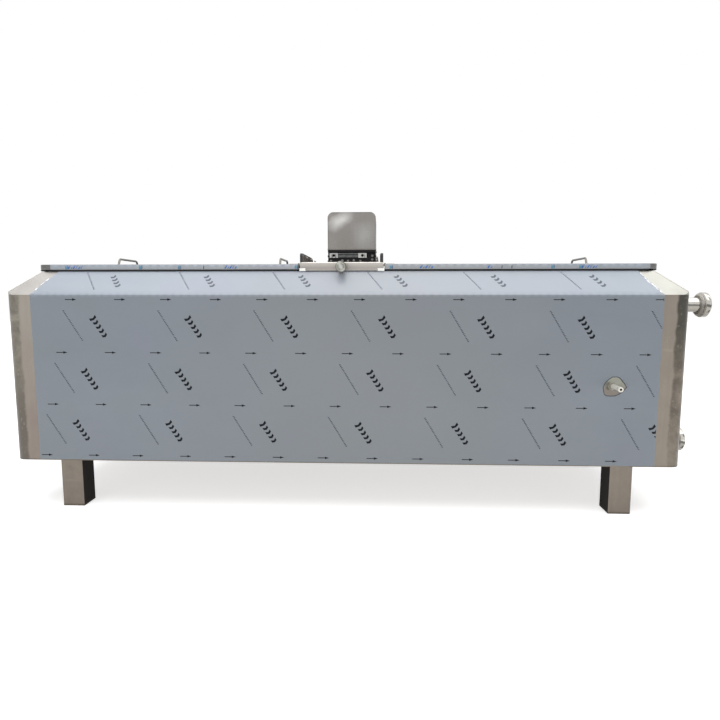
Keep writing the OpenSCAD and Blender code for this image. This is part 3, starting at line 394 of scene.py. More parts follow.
def bridge_zones(s, tone):
    """The rolled channel: paler to the right, with a few soft darker spots as the painted shade of dents,
    lighter towards the top and a bright line along its lower edge as painted highlights, and a thin line of
    painted shade at its very bottom.
    """
    x, _, z = s.axes()
    base = BRIDGE_LOW.z
    tone = s.mix(x.fade(TANK_X - 0.15, TANK_X + 0.15), tone.tint((0.88, 0.88, 0.88, 1)), tone)
    # Painted shade of a few soft dents.
    tone = tone.to(s.noise((26, 26, 40), 2, 0.5).fade(0.60, 0.72, 0.0, 0.45), (140, 130, 124))
    # Painted highlights: lighter towards the top, and a bright line along the lower edge.
    tone = tone.to(z.fade(base + 0.014, BRIDGE_TOP - 0.003, 0.0, 0.45), (206, 201, 194))
    tone = tone.to(z.fade(base + 0.0058, base + 0.0040) * 0.85, (232, 228, 224))
    # Painted shade: a thin dark line at the very bottom.
    return tone.to(z.fade(base + 0.0022, base + 0.0012) * 0.8, (92, 88, 84))


def lid_zones(s, tone):
    """The bare ends of the lids, past the film, are dull."""
    end = abs(s.axes()[0] - TANK_X).fade(LID_END - 0.062, LID_END - 0.058)
    smear = s.noise((60, 60, 120), 3, 0.6)
    return tone.to(end * smear.fade(0.3, 0.7, 0.75, 1.0), (103, 103, 102))


def cap_zones(s, tone):
    """A turned disc: pale in the middle, a dark band round the raised ring and a darker rim as painted shade,
    a grey flange, and painted highlights in two opposite sectors.
    """
    x, _, z = s.axes()
    a, b = x - RINSE.x, z - RINSE.z
    away = reach(a, b)
    # Painted shade round the raised ring and at the rim, with the grey flange between.
    for start, stop, colour in ((0.0064, 0.0086, (130, 130, 123)), (0.0106, 0.0118, (146, 146, 139)),
                                (0.0158, 0.0168, (110, 108, 103))):
        tone = tone.to(away.fade(start, stop), colour)
    # Painted highlights in two opposite sectors.
    sector_highlight = (b.do("ARCTAN2", a) * 2.0 + -2.6).do("SINE")
    return tone.to(sector_highlight.fade(0.1, 1.0, 0.0, 0.5), (196, 197, 191))


def tube_zones(s, tone):
    """The pocket: a dull flange on the steel, a bright tube painted darker as shade on the faces turned down,
    and a bore painted black as shade.
    """
    x, y, z = s.axes()
    tone = tone.to(y.fade(PANEL_LOW.y - 0.016, PANEL_LOW.y - 0.012) * 0.9, (122, 119, 108))
    # Painted shade on the faces turned down.
    tone = tone.to(s.facing()[2].fade(-0.25, -0.55) * 0.7, (104, 100, 90))
    # The bore is painted black as shade.
    bore = reach(x - POCKET.x, z - POCKET.z).fade(POCKET_BORE + 0.0007, POCKET_BORE + 0.0002)
    return tone.to(bore, (16, 15, 14)), (1.0 - bore) * 0.25


# Recesses in the two lug faces, from the vat's middle, and the lugs' upper edge
LUG_POCKETS = ((-0.0745, -0.0665), (-0.0600, -0.0520), (0.0675, 0.0725))
LUG_TOP = BRIDGE_TOP + 0.063


def cast_zones(s, tone):
    """Machined lug faces and rubbed ribs show grey metal on the black casting."""
    x, y, z = s.axes()
    below_cover = z.fade(BRIDGE_TOP + 0.0645, BRIDGE_TOP + 0.0635)
    lug = y.fade(GEARBOX_FRONT + 0.0007, GEARBOX_FRONT + 0.0003) * below_cover
    rib = y.fade(GEARBOX_FRONT + 0.0046, GEARBOX_FRONT + 0.0042)
    rib = rib * z.fade(BRIDGE_TOP + 0.040, BRIDGE_TOP + 0.042) * below_cover
    worn = s.noise(90, 3, 0.6)
    tone = tone.to(rib * worn.fade(0.3, 0.6, 0.6, 0.95), (138, 140, 141))
    under = 1.0 - z.fade(LUG_TOP - 0.0055, LUG_TOP - 0.0045)
    for low, high in LUG_POCKETS:
        hollow = x.fade(TANK_X + low, TANK_X + low + 0.0008) * x.fade(TANK_X + high, TANK_X + high - 0.0008)
        lug = lug * (1.0 - hollow * under)
    tone = tone.to(lug, s.mix(worn, (160, 160, 158), (196, 196, 194)))
    return tone, s.maths("MAXIMUM", 0.1, lug.most(rib) * 0.9)


def fitting_back(s):
    """The faces of the unions turned to the vat are dull."""
    return s.facing()[0].fade(-0.30, -0.70) * 0.7


def turned_zones(s, tone):
    """Turned fittings with fine tool rings, and painted reflection and shade: bright on top, a dark line
    under the middle, darker below and on the faces turned to the vat.
    """
    tone = tone.to(s.noise((420, 3, 3), 2, 0.5).fade(0.4, 0.7, 0.0, 0.35), (120, 116, 110))
    # Painted reflection: bright on top, a dark line under the middle and darker below.
    nx, _, nz = s.facing()
    tone = tone.to(nz.fade(0.02, -0.10) * 0.85, (128, 125, 118))
    edge = nz.fade(0.08, 0.02) * nz.fade(-0.20, -0.12)
    tone = tone.to(edge * 0.85, (70, 69, 66))
    tone = tone.to(nz.fade(-0.60, -0.95) * 0.6, (102, 98, 92))
    # Painted shade on the faces turned to the vat.
    return tone.to(nx.fade(-0.35, -0.75) * 0.7, (156, 153, 146))


def film_material():
    """Thin blue-grey protective film: faint green and violet drift, fine crinkle, soft gloss, and painted
    shade that makes its upright faces darker than those turned up.
    """
    s = surface("film_blue")
    x, _, z = s.axes()
    drift = s.noise((2.1, 2.1, 3.4), 4, 0.55, 0.6)
    tint = s.noise((4.7, 4.7, 5.3), 3, 0.5, turn=(0.3, 0.6, 0.1))
    pull = s.noise((1.5, 1.5, 60), 3, 0.6)
    crinkle = s.noise(190, 3, 0.65)
    tone = s.mix(drift.fade(0.3, 0.7), (164, 171, 180), (172, 179, 189))
    tone = tone.to(tint.fade(0.52, 0.68, 0.0, 0.5), (166, 176, 180))
    tone = tone.to(tint.fade(0.46, 0.32, 0.0, 0.5), (170, 173, 190))
    tone = tone.to(abs(x - (TANK_X + 0.12)).fade(0.85, 0.15, 0.0, 0.6), (176, 178, 180))
    # Painted shade: upright faces are tinted much darker than faces turned up, the lid rims above the seat
    # less so.
    up = s.facing()[2].fade(0.05, 0.6)
    upright = s.mix(z.fade(SEAT_Z, SEAT_Z + 0.002), (0.393, 0.412, 0.421, 1), (0.65, 0.64, 0.62, 1))
    tone = tone.tint(s.mix(up, upright, (0.775, 0.80, 0.835, 1)))
    normal = s.bump(crinkle * 0.25 + pull, 0.10, 0.0012)
    return s.finish(Base_Color=tone, Roughness=pull.fade(0.3, 0.7, 0.30, 0.42), Normal=normal,
                    Coat_Weight=0.25, Coat_Roughness=0.2)


def ink_material(name, colour, worn=0.25):
    """Printing ink on film, thinner in places, and paler on faces turned up as a painted sheen."""
    s = surface(name)
    speck = s.noise(900, 2, 0.6)
    tone = s.mix(speck.fade(0.55, 0.8, 0.0, worn), colour, (120, 128, 138))
    tone = tone.to(s.noise(30, 3, 0.6).fade(0.55, 0.75, 0.0, worn), (110, 118, 128))
    # Painted sheen on faces turned up.
    tone = tone.to(s.facing()[2].fade(0.2, 0.6, 0.0, 0.27 + 1.8 * worn), (150, 158, 170))
    normal = s.bump(speck, 0.1, 0.0002)
    return s.finish(Base_Color=tone, Roughness=0.45, Normal=normal, Specular_IOR_Level=0.12)


UPRIGHT = (60, 60, 2)
brushed("sheet_steel", (166, 159, 149), grain=UPRIGHT, extra=sheet_zones)
brushed("liner_steel", (190, 190, 187), 0.26)
brushed("lid_steel", (132, 131, 128), 0.30, extra=lid_zones)
brushed("hood_steel", (131, 128, 125), 0.30, UPRIGHT, extra=hood_zones, wave=0.3)
brushed("bridge_steel", (161, 156, 151), 0.34, blotch=0.06, wave=0.5, extra=bridge_zones)
brushed("leg_steel", (112, 105, 97), 0.38, UPRIGHT, extra=leg_zones, dull=inner_face_shade, gloss=0.22)
brushed("rod_steel", (112, 109, 104), 0.26, (60, 2, 60))
brushed("fitting_steel", (206, 203, 196), 0.20, (60, 4, 4), extra=turned_zones,
        dull=fitting_back)
brushed("hinge_steel", (165, 162, 155), 0.30)
brushed("screw_steel", (175, 174, 170), 0.24)
brushed("cap_steel", (170, 171, 165), 0.30, (60, 60, 60), extra=cap_zones)
satin("tube_steel", (206, 203, 194), 0.38, 500, variation=0.08, extra=tube_zones, dusty=0.1)
# The bridge's lip is coloured bright as a painted highlight.
brushed("lip_steel_painted_highlight", (228, 224, 218), 0.28, (4, 60, 60))
brushed("hem_steel", (122, 119, 114))
brushed("weld_steel", (150, 145, 136), 0.30, (40, 40, 40), strength=0.5, blotch=0.2)
brushed("mill_steel", (150, 148, 144), 0.45)
brushed("gear_steel", (150, 150, 150), 0.35)
satin("cast_black", (17, 15, 18), 0.42, 320, 0.3, extra=cast_zones, dusty=0.15, gloss=0.2)
brushed("bracket_steel", (112, 106, 101), 0.36)
satin("rubber_black", (30, 30, 34), 0.62, 700, 0.2)
satin("black_pin", (20, 20, 22), 0.4)
satin("dark_bolt", (116, 114, 112), 0.28, 600, variation=0.25, metal=0.9)
satin("white_nylon", (240, 240, 236), 0.45, 600, variation=0.03, dusty=0.05)
satin("insulation_foam", (214, 200, 150), 0.9, 260, 0.8)
satin("frame_primer", (96, 98, 102), 0.6, 300)
satin("white_paper", (236, 238, 242), 0.8, 500, variation=0.03, dusty=0.0)
film_material()
ink_material("ink_navy", (14, 16, 22), 0.06)
ink_material("ink_grey", (60, 64, 72), 0.35)
ink_material("ink_blue", (62, 108, 178))
ink_material("ink_pale", (98, 140, 163))
ink_material("ink_teal", (58, 92, 126))

# Slots whose material has another name than the slot, and nodes with a material of their own
SLOT_LOOK = {
    "frame_steel": "frame_primer", "foam": "insulation_foam", "jacket_steel": "mill_steel",
    "film": "film_blue", "rubber_seal": "rubber_black", "nylon": "white_nylon",
    "agitator_steel": "liner_steel", "lever_steel": "hinge_steel",
}
NODE_LOOK = {"bumper_brackets": "bracket_steel", "rinse_cap": "cap_steel", "thermometer_pocket": "tube_steel"}

# Nodes by the radius of their rounded edges, in millimetres
ROUNDED = {
    4.0: "leg_front_left leg_front_right leg_rear_left leg_rear_right",
    2.4: "lid_bumpers",
    2.0: "terminal_box",
    1.6: "left_lid right_lid bridge_pads",
    1.5: "agitator_bridge base_frame",
    1.2: "gearbox_cover left_gasket right_gasket",
    1.0: "gearbox_housing",
    0.9: "milk_inlet_nut water_inlet_nut",
    0.8: "motor_hood rinse_cap outlet_valve valve_lever agitator_paddle shaft_seal",
    0.6: "bumper_brackets milk_inlet_pipe water_inlet_pipe",
    0.5: "left_lid_hinges right_lid_hinges thermometer_pocket",
    0.4: "bridge_hinges",
}


def dress_nodes():
    """Gives each CAD node the material of its slot in the record and rounds its edges."""
    for entry in frame["record"]["subparts"]:
        obj = frame["nodes"][entry["node"]]
        slot = entry["material_slot"]
        look = NODE_LOOK.get(entry["node"], SLOT_LOOK.get(slot, slot))
        obj.data.materials.clear()
        obj.data.materials.append(MATERIALS[look])
    for radius, nodes in ROUNDED.items():
        for node in nodes.split():
            round_edges(frame["nodes"][node], radius * MM)


def round_edges(obj, radius):
    """Joins what is flat and rounds the sharp edges, in modifiers that leave the mesh as it is."""
    weld = obj.modifiers.new("join", "WELD")
    weld.merge_threshold = 1e-5
    flat = obj.modifiers.new("flat", "DECIMATE")
    flat.decimate_type = "DISSOLVE"
    flat.angle_limit = radians(0.6)
    bevel = obj.modifiers.new("edges", "BEVEL")
    bevel.width = radius
    bevel.segments = 3
    bevel.limit_method = "ANGLE"
    bevel.angle_limit = radians(32)
    bevel.use_clamp_overlap = True
    bevel.harden_normals = True
    bevel.miter_outer = "MITER_ARC"


# Mesh building
def drift(*place):
    return noise.noise(Vector(place))


def turns(count):
    """The angles of so many even steps round a circle."""
    return [2 * pi * k / count for k in range(count)]


def add_piece(name, bm, look, body=ROOT, sharp=None):
    """Makes the faces a piece on a body; edges that turn by sharp degrees or more stay crisp."""
    bmesh.ops.recalc_face_normals(bm, faces=bm.faces[:])
    if sharp is not None:
        for edge in bm.edges:
            edge.smooth = edge.calc_face_angle(0.0) < radians(sharp)
    mesh = bpy.data.meshes.new(name)
    bm.to_mesh(mesh)
    bm.free()
    for polygon in mesh.polygons:
        polygon.use_smooth = True
    mesh.materials.append(MATERIALS[look])
    obj = add_object(name, mesh)
    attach(obj, body)
    return obj


def after(row):
    """The same row, each point replaced by the next one."""
    return row[1:] + row[:1]


def prism(bm, top, bottom):
    """A closed solid between two rings of points."""
    a = [bm.verts.new(p) for p in top]
    b = [bm.verts.new(p) for p in bottom]
    bm.faces.new(a)
    bm.faces.new(b[::-1])
    for side in zip(a, b, after(b), after(a)):
        bm.faces.new(side)


def skin(bm, rings, closed=False):
    """Joins each ring of points to the next, and the last to the first where closed."""
    for first, second in zip(rings, rings[1:] + rings[:closed]):
        for side in zip(first, after(first), after(second), second):
            bm.faces.new(side)


def bead(bm, path, radius, closed=False, up=WAY_Z, ripple=0.12, sides=8):
    """A weld bead: a round sweep along a path with the small ripples that a torch leaves."""
    rings = []
    last = len(path) - 1
    for i, point in enumerate(path):
        start = path[i - 1] if closed or i else point
        stop = path[i - last] if closed or i < last else point
        along = (stop - start).normalized()
        side = along.cross(Vector(up)).normalized()
        high = side.cross(along).normalized()
        r = radius * (1 + ripple * sin(i * 2.1) + 0.5 * ripple * noise.noise(point * 90))
        rings.append([bm.verts.new(point + r * (cos(t) * side + sin(t) * high)) for t in turns(sides)])
    skin(bm, rings, closed)
    if not closed:
        bm.faces.new(rings[0][::-1])
        bm.faces.new(rings[-1])


def line(a, b, step):
    a, b = Vector(a), Vector(b)
    n = max(2, int((b - a).length / step) + 1)
    return [a.lerp(b, i / (n - 1)) for i in range(n)]


def across(axis):
    """An axis and two directions across it."""
    axis = Vector(axis)
    a = axis.orthogonal().normalized()
    return axis, a, axis.cross(a)


def ring(centre, radius, axis, step):
    """A circle of points about an axis."""
    _, a, b = across(axis)
    return [Vector(centre) + radius * (cos(t) * a + sin(t) * b)
            for t in turns(max(16, int(2 * pi * radius / step)))]


def lathe(bm, centre, axis, profile, sides=32, phase=0.0, hexed=()):
    """A turned solid from (radius, height) points in millimetres, both ends on the axis; rings in hexed are
    six-sided."""
    axis, a, b = across(axis)
    sixth = pi / 6
    rings = []
    for i, (radius, height) in enumerate(profile):
        row = []
        radius, height = radius * MM, height * MM
        for t in turns(sides if radius else 1):
            r = radius * cos(sixth) / cos(t % (2 * sixth) - sixth) if i in hexed else radius
            t += phase
            row.append(bm.verts.new(Vector(centre) + height * axis + r * (cos(t) * a + sin(t) * b)))
        rings.append(row)
    for first, second in zip(rings, rings[1:]):
        first, second = (row if len(row) > 1 else row * sides for row in (first, second))
        for side in zip(first, after(first), after(second), second):
            bm.faces.new(list(dict.fromkeys(side)))


def hex_bolt(bm, centre, axis, wide, phase=0.0):
    """Hexagon head with a washer face and a chamfered crown; wide is across its flats, in millimetres."""
    r = wide / 2 / cos(pi / 6)
    lathe(bm, centre, axis, [(0, -0.8), (r * 1.15, -0.8), (r * 1.15, 0.6), (r, 0.7), (r, 3.096),
                             (r * 0.86, 3.6), (r * 0.3, 3.636), (0, 3.636)], 36, phase, (3, 4))


def socket_screw(bm, centre, axis):
    """Low domed head with a six-sided recess."""
    lathe(bm, centre, axis, [(0, -0.4), (3.2, -0.4), (3.2, 0.225), (2.752, 0.675), (1.76, 0.9),
                             (1.344, 0.828), (1.28, 0.09), (0, 0.09)], 24, hexed=(5, 6))


# Flat patterns and the sheets that are wrapped from them
def inside(point, loop):
    x, y = point
    hit = False
    for (x0, y0), (x1, y1) in zip(loop, after(loop)):
        if (y0 > y) != (y1 > y) and x < (x1 - x0) * (y - y0) / (y1 - y0) + x0:
            hit = not hit
    return hit


def probe(u, v, loop, wide, tall):
    """Whether the four points round a place are inside a loop."""
    return [inside((u + a, v + b), loop) for a, b in ((wide, 0), (-wide, 0), (0, tall), (0, -tall))]


def fill(loops, step, rows):
    """Points and triangles of the first loop without the others, with inner points every step."""
    points, edges = [], []
    for loop in loops:
        first = len(points)
        points += loop
        edges += [(first + i, first + (i + 1) % len(loop)) for i in range(len(loop))]
    (x0, x1), (y0, y1) = ((min(v), max(v)) for v in zip(*loops[0]))
    n = int((y1 - y0) / step)
    between = (y0 + (i + 0.5) * (y1 - y0) / n for i in range(n))
    levels = rows + [v for v in between if all(abs(v - r) > 0.3 * step for r in rows)]
    columns = int((x1 - x0) / step)
    near = 0.25 * step
    for k, v in enumerate(levels):
        for i in range(columns):
            u = x0 + (i + 0.25 + 0.5 * (k % 2)) * (x1 - x0) / columns
            if all(probe(u, v, loops[0], near, near / 4)) \
                    and not any(any(probe(u, v, hole, near, near)) for hole in loops[1:]):
                points.append((u, v))
    flat, _, faces = delaunay_2d_cdt([Vector(p) for p in points], edges, [], 0, 1e-7)[:3]
    kept = []
    for face in faces:
        c = sum((flat[i] for i in face), Vector((0, 0))) / len(face)
        if inside(c, loops[0]) and not any(inside(c, hole) for hole in loops[1:]):
            kept.append(tuple(face))
    return [(p.x, p.y) for p in flat], kept


def wrapped_sheet(name, loops, place, step, rows, body=ROOT):
    """A thin closed film: the flat pattern placed twice and joined round its edges."""
    flat, faces = fill(loops, step, rows)
    bm = bmesh.new()
    used = sorted({i for face in faces for i in face})
    top, under = ({i: bm.verts.new(place(*flat[i], lift)) for i in used} for lift in (0.0, -0.00025))
    seen = {}
    for face in faces:
        bm.faces.new([top[i] for i in face])
        bm.faces.new([under[i] for i in reversed(face)])
        seen.update(dict.fromkeys(zip(face, after(face))))
    for a, b in seen:
        if (b, a) not in seen:
            bm.faces.new((top[b], top[a], under[a], under[b]))
    return add_piece(name, bm, "film_blue", body, sharp=50)


BEND_L = 0.00104
BEND_R = BEND_L / tan(TURN / 2)


def wrap(side):
    """Places a point of a side's flat pattern: u along the vat, v up from the crease, lift off the steel."""
    def place(u, v, lift):
        if v <= -BEND_L:
            out, up = HALF_W + lift, CREASE_Z + v
        elif v >= BEND_L:
            out = HALF_W - v * sin(TURN) + lift * cos(TURN)
            up = CREASE_Z + v * cos(TURN) + lift * sin(TURN)
        else:
            angle = TURN * (v + BEND_L) / (2 * BEND_L)
            out = HALF_W - BEND_R + (BEND_R + lift) * cos(angle)
            up = CREASE_Z - BEND_L + (BEND_R + lift) * sin(angle)
        return vat(-side * u, side * out, up)
    return place


def film_place(side):
    """The same places on a film, whose own ripple lifts it off the steel."""
    place = wrap(side)

    def rippled(u, v, lift):
        slow = drift(u * 2.3, v * 3.1, side * 3.0)
        fine = drift(u * 8.0, v * 6.0, side * 3.0 + 5)
        return place(u, v, lift + (0.00032 + 0.00018 * (1 + slow) + 0.00010 * (1 + fine)))
    return rippled


# The print on the film, in the film's flat pattern: the marks' pitch, row step, first place and slant
PITCH = 0.342
ROW = (-0.0416, -0.1886)
MARK = (-0.8595, -0.1138)
MARK_WAY = Vector((0.0481, -0.0744)).normalized()
DASH_WAY = Vector((0.0705, -0.1165)).normalized()


def turned(points, centre, way):
    """Outline points along and across a direction, moved to a centre."""
    return [(centre[0] + a * way.x - b * way.y, centre[1] + a * way.y + b * way.x) for a, b in points]


def chevrons(centre):
    """Five bold arrowheads in a row, the first one larger."""
    back = -0.0072
    for i in range(5):
        tall, wide = (0.0096, 0.0054) if i else (0.0128, 0.0060)
        shape = [(back, -tall), (back + 1.7 * wide, -tall), (0.0086 - 0.4 * wide, 0.0),
                 (back + 1.7 * wide, tall), (back, tall), (back + wide, 0.0)]
        yield turned(shape, Vector(centre) + MARK_WAY * (i - 2) * 0.0180, MARK_WAY)


def dashes(centre):
    """A broken line of short blocks with a wider gap after every few."""
    pitch = 0.0061
    n = int(0.134 / pitch)
    for i in range(n):
        half = 0.0013 if i % 6 == 5 else 0.0021
        shape = [(-half, -0.0026), (half, -0.0026), (half, 0.0026), (-half, 0.0026)]
        yield turned(shape, Vector(centre) + DASH_WAY * (i - (n - 1) / 2) * pitch, DASH_WAY)


ARROW = ((-0.0205, -0.0014), (0.0060, -0.0014), (0.0050, -0.0046), (0.0205, 0.0), (0.0050, 0.0046),
         (0.0060, 0.0014), (-0.0205, 0.0014))


def trimmed(points, limit, sign):
    """The part of an outline that lies below limit in u, or above it where sign is -1."""
    out = []
    for (u0, v0), (u1, v1) in zip(points, after(points)):
        if sign * (u0 - limit) < 0:
            out.append((u0, v0))
        if (u0 - limit) * (u1 - limit) < 0:
            out.append((limit, v0 + (v1 - v0) * (limit - u0) / (u1 - u0)))
    return out


def on_film(points, edges):
    """An outline cut at the film's sides, or nothing where it would cross the crease, the ends or a hole."""
    left, right, low, high, holes = edges
    v = sum(p[1] for p in points) / len(points)
    points = trimmed(trimmed(points, right(v) - 0.0015, 1), left(v) + 0.0015, -1)
    if len(points) < 3:
        return []
    us, vs = zip(*points)
    crossing = min(vs) < BEND_L < max(vs) + 2 * BEND_L
    if crossing or max(us) - min(us) < 0.0015 or min(vs) <= low + 0.002 or max(vs) >= high - 0.002:
        return []
    if any(hypot(u - hu, v - hv) < size + 0.004 for u, v in points for hu, hv, size in holes):
        return []
    return [points]


def printed(name, outlines, place, look, body=ROOT):
    """Thin printed shapes that lie on a film."""
    bm = bmesh.new()
    for outline in outlines:
        prism(bm, *([place(u, v, lift) for u, v in outline] for lift in (0.00012, -0.00008)))
    if bm.faces:
        add_piece(name, bm, look, body, sharp=30)


def film_print(name, edges, place, body=ROOT, rows=range(-3, 2), columns=range(-4, 5), shift=(0.0, 0.0)):
    """All the marks, dashes and arrows of one film. The arrows' rows slide a little with their height."""
    dark, grey = [], []
    for r in rows:
        for k in columns:
            u = MARK[0] + 3 * PITCH + k * PITCH - r * ROW[0] + shift[0]
            v = MARK[1] - r * ROW[1] + shift[1]
            dark += chevrons((u, v))
            grey += dashes((u - 0.094, v + 0.006))
            high = v + 0.0973
            for a in (u - 0.1045, u - 0.1045 + 0.1775):
                a = 0.06 + (a - 0.06) * 0.990 if high < -0.5 else a + 0.0078 + 0.009 * high
                dark.append(turned(ARROW, (a, high), Vector((1, 0))))
    for kind, look, outlines in (("_marks", "ink_navy", dark), ("_dashes", "ink_grey", grey)):
        printed(name + kind, [cut for o in outlines for cut in on_film(o, edges)], place, look, body)


# The torn patch round the thermometer pocket, in the film's flat pattern
PATCH_U, PATCH_V = POCKET.x - TANK_X, POCKET.z - CREASE_Z
PATCH = [(-30, -4), (-28, -18), (-25, -28), (-18, -33), (-4, -34), (11, -33), (24, -27), (36, -19), (48, -4),
         (41, 8), (33, 18), (24, 28), (13, 33), (-1, 31), (-12, 24), (-22, 13)]
# Folded corners of film: outline and lifts in millimetres
FLAPS = (((33, 22, 0.8), (38, 15, 0.9), (41, 12, 1.0), (40, 15, 2.2), (36, 22, 2.8), (34, 24, 1.6)),
         ((43, 9, 0.8), (46, 5, 0.9), (50, 0, 1.2), (57, 1, 3.0), (52, 3, 3.6), (48, 7, 3.2), (45, 11, 2.0)),
         ((46, -9, 0.7), (50, -6, 1.0), (55, -8, 2.6), (51, -10, 2.2), (47, -12, 1.0)))


def torn_patch(grow=0.0):
    """Ragged outline of the bare patch, grown by some millimetres."""
    out = []
    for (x0, y0), (x1, y1) in zip(PATCH, after(PATCH)):
        for k in range(4):
            x, y = x0 + (x1 - x0) * k / 4, y0 + (y1 - y0) * k / 4
            rag = 0.9 * drift(x * 0.11, y * 0.11, 2.5)
            size = (1 + (rag + grow) / hypot(x, y)) * MM
            out.append((PATCH_U + x * size, PATCH_V + y * size))
    return out


def pocket_flap():
    """Folded corners of film at the bare patch, and a dark ring round it, partly residue left by the torn
    film and partly painted shadow of the film's edge.
    """
    place = wrap(-1)
    bm = bmesh.new()
    for flap in FLAPS:
        prism(bm, *([place(PATCH_U + a * MM, PATCH_V + b * MM, (h - thick) * MM) for a, b, h in flap]
                    for thick in (0, 0.35)))
    add_piece("film_flap", bm, "film_blue", sharp=40)
    place = film_place(-1)
    bm = bmesh.new()
    inner, outer = torn_patch(-0.4), torn_patch(2.1)
    rings = ((inner, -0.0002), (inner, 0.0002), (outer, 0.0002), (outer, -0.0002))
    skin(bm, [[bm.verts.new(place(u, v, lift)) for u, v in loop] for loop, lift in rings], closed=True)
    add_piece("film_tear_edge_shadow_and_residue", bm, "ink_grey", sharp=40)


def film_edge(side, sign, rough):
    """The left or right edge of a film, which is torn more on the slope than below it."""
    def at(v):
        tear = 0.0055 * drift(v * 26, sign * 7.7, side)
        fine = 0.0022 * drift(v * 120, sign * 3.1, side)
        ragged = (rough if v > 0 else rough / 4) * (tear + fine)
        return sign * (1.1045 - 0.062 * max(0.0, v) / SLOPE_L + ragged)
    return at


def film_scraps(name, side, right, left, high):
    """Scraps of white backing along the torn edges on the shoulder."""
    rng = random.Random(31 + side)
    bm = bmesh.new()
    place = wrap(side)
    for edge, sign, count in ((right, 1, 11), (left, -1, 3)):
        for i in range(count):
            v = 0.012 + (high - 0.03) * (i + rng.uniform(0.1, 0.9)) / count
            u = edge(v) + sign * rng.uniform(-0.0005, 0.0025)
            long, wide = rng.uniform(0.008, 0.018), rng.uniform(0.0020, 0.0048)
            outline = [(long * cos(t) * rng.uniform(0.7, 1.0), wide * sin(t) * rng.uniform(0.6, 1.0))
                       for t in turns(7)]
            outline = turned(outline, (u, v), Vector((-sign * 0.45, 1.0)).normalized())
            prism(bm, *([place(a, b, lift) for a, b in outline] for lift in (0.0013, 0.0001)))
    add_piece(name + "_scraps", bm, "white_paper", sharp=40)


def body_films():
    """The film on the front and the rear, from near the floor pan over the crease to the seat."""
    low, high = -(CREASE_Z - BODY_Z) + 0.0035, SLOPE_L - 0.0012
    rows = [-BEND_L, -BEND_L / 3, BEND_L / 3, BEND_L]
    vs = sorted([low + (high - low) * i / 90 for i in range(91)] + rows)
    us = [i / 80 for i in range(1, 80)]
    for side, name in ((-1, "film_front"), (1, "film_rear")):
        left, right = film_edge(side, -1, 0.35), film_edge(side, 1, 1.0)
        loop = [(left(low) + (right(low) - left(low)) * t, low + 0.0008 * drift(t * 40, 0, side)) for t in us]
        loop += [(right(v), v) for v in vs]
        loop += [(left(high) + (right(high) - left(high)) * t, high) for t in reversed(us)]
        loop += [(left(v), v) for v in reversed(vs)]
        front = side < 0
        sheet = wrapped_sheet(name, [loop] + [torn_patch()] * front, film_place(side), 0.028, rows)
        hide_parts("protective_film")
        holes = [(PATCH_U, PATCH_V, 0.040)] * front
        film_print(name, (left, right, low, high, holes), film_place(side))
        film_scraps(name, side, right, left, high)
    pocket_flap()


# Film on the lids: over the front rim, the top and the rear rim
LID_BEND = 0.0018
LID_DEPTH = LID_HIGH.y - LID_LOW.y
LID_DROP = LID_HIGH.z - LID_LOW.z - 0.0012
LID_MARKS_X, LID_MARKS_V = TANK_X + 0.02, LID_DEPTH + 0.03


def lid_place(u, v, lift):
    """Places a point of a lid film: v runs up the front rim, over the top and down the rear rim."""
    r, half = LID_BEND, LID_DEPTH / 2
    lift += 0.00030 + 0.00008 * (1 + drift(u * 5, v * 5, 9))
    side = -1 if v < half else 1
    v = min(v, LID_DEPTH - v)
    out, up = half - v, lift
    if v < -r:
        out, up = half + lift, v
    elif v < r:
        t = pi / 2 * (v + r) / (2 * r)
        out, up = half - r + (r + lift) * cos(t), (r + lift) * sin(t) - r
    return Vector((u, TANK_Y + side * out, LID_TOP + up))


def lid_films():
    """Each lid's film, cut out round the two hinge leaves, with its print."""
    r, depth, drop = LID_BEND, LID_DEPTH, LID_DROP
    rows = [fold + k for fold in (0, depth) for k in (-r, -r / 3, r / 3, r)]
    vs = sorted([-drop + (depth + 2 * drop) * i / 70 for i in range(71)] + rows)
    us = [i / 34 for i in range(1, 34)]
    for sign, body in SIDES:
        low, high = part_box(body)
        leaf_low, leaf_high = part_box(body + "_hinges")
        outer, inner, leaf = (high.x - 0.036, low.x + 0.0022, leaf_high.x + 0.004) if sign > 0 \
            else (low.x + 0.052, high.x - 0.0022, leaf_low.x - 0.004)
        y0 = leaf_low.y - TANK_Y + depth / 2
        cuts = ((y0 - 0.004, y0 + 0.064), (depth - y0 - 0.064, depth - y0 + 0.004))
        edge = [(inner, v) for v in vs if not any(a - 0.002 < v < b + 0.002 for a, b in cuts)]
        for a, b in cuts:
            edge += [(inner, a), (leaf, a + 0.0001), (leaf, b - 0.0001), (inner, b)]
        edge.sort(key=lambda p: p[1])
        edge += [(inner + (outer - inner) * t, depth + drop) for t in us]
        edge += [(outer + 0.0012 * drift(v * 30, 2.0, sign), v) for v in reversed(vs)]
        edge += [(inner + (outer - inner) * t, -drop) for t in reversed(us)]
        name = "film_" + body
        wrapped_sheet(name, [edge], lid_place, 0.03, rows, body)
        near, far = sorted((outer, leaf))
        edges = (lambda v, limit=near: limit, lambda v, limit=far: limit, 0.004, depth - 0.004, [])
        film_print(name, edges, lid_place, body, range(-6, 1), range(-5, 6), (LID_MARKS_X, LID_MARKS_V))
        rim_print(name, body)


# Prints on the lids' front rims, from the vat's middle: rows of slanted bars, pale stripes and dark ticks
RIM_BLUE = {"left_lid": ((-1.005, -0.949), (-0.424, -0.379)),
            "right_lid": ((0.281, 0.330), (0.521, 0.540), (0.851, 0.907))}
RIM_PALE = {"left_lid": (-1.012, -0.736, -0.592, -0.165), "right_lid": (0.177, 0.748, 0.845)}
RIM_DARK = {"left_lid": (-0.502,), "right_lid": (0.571, 0.606)}


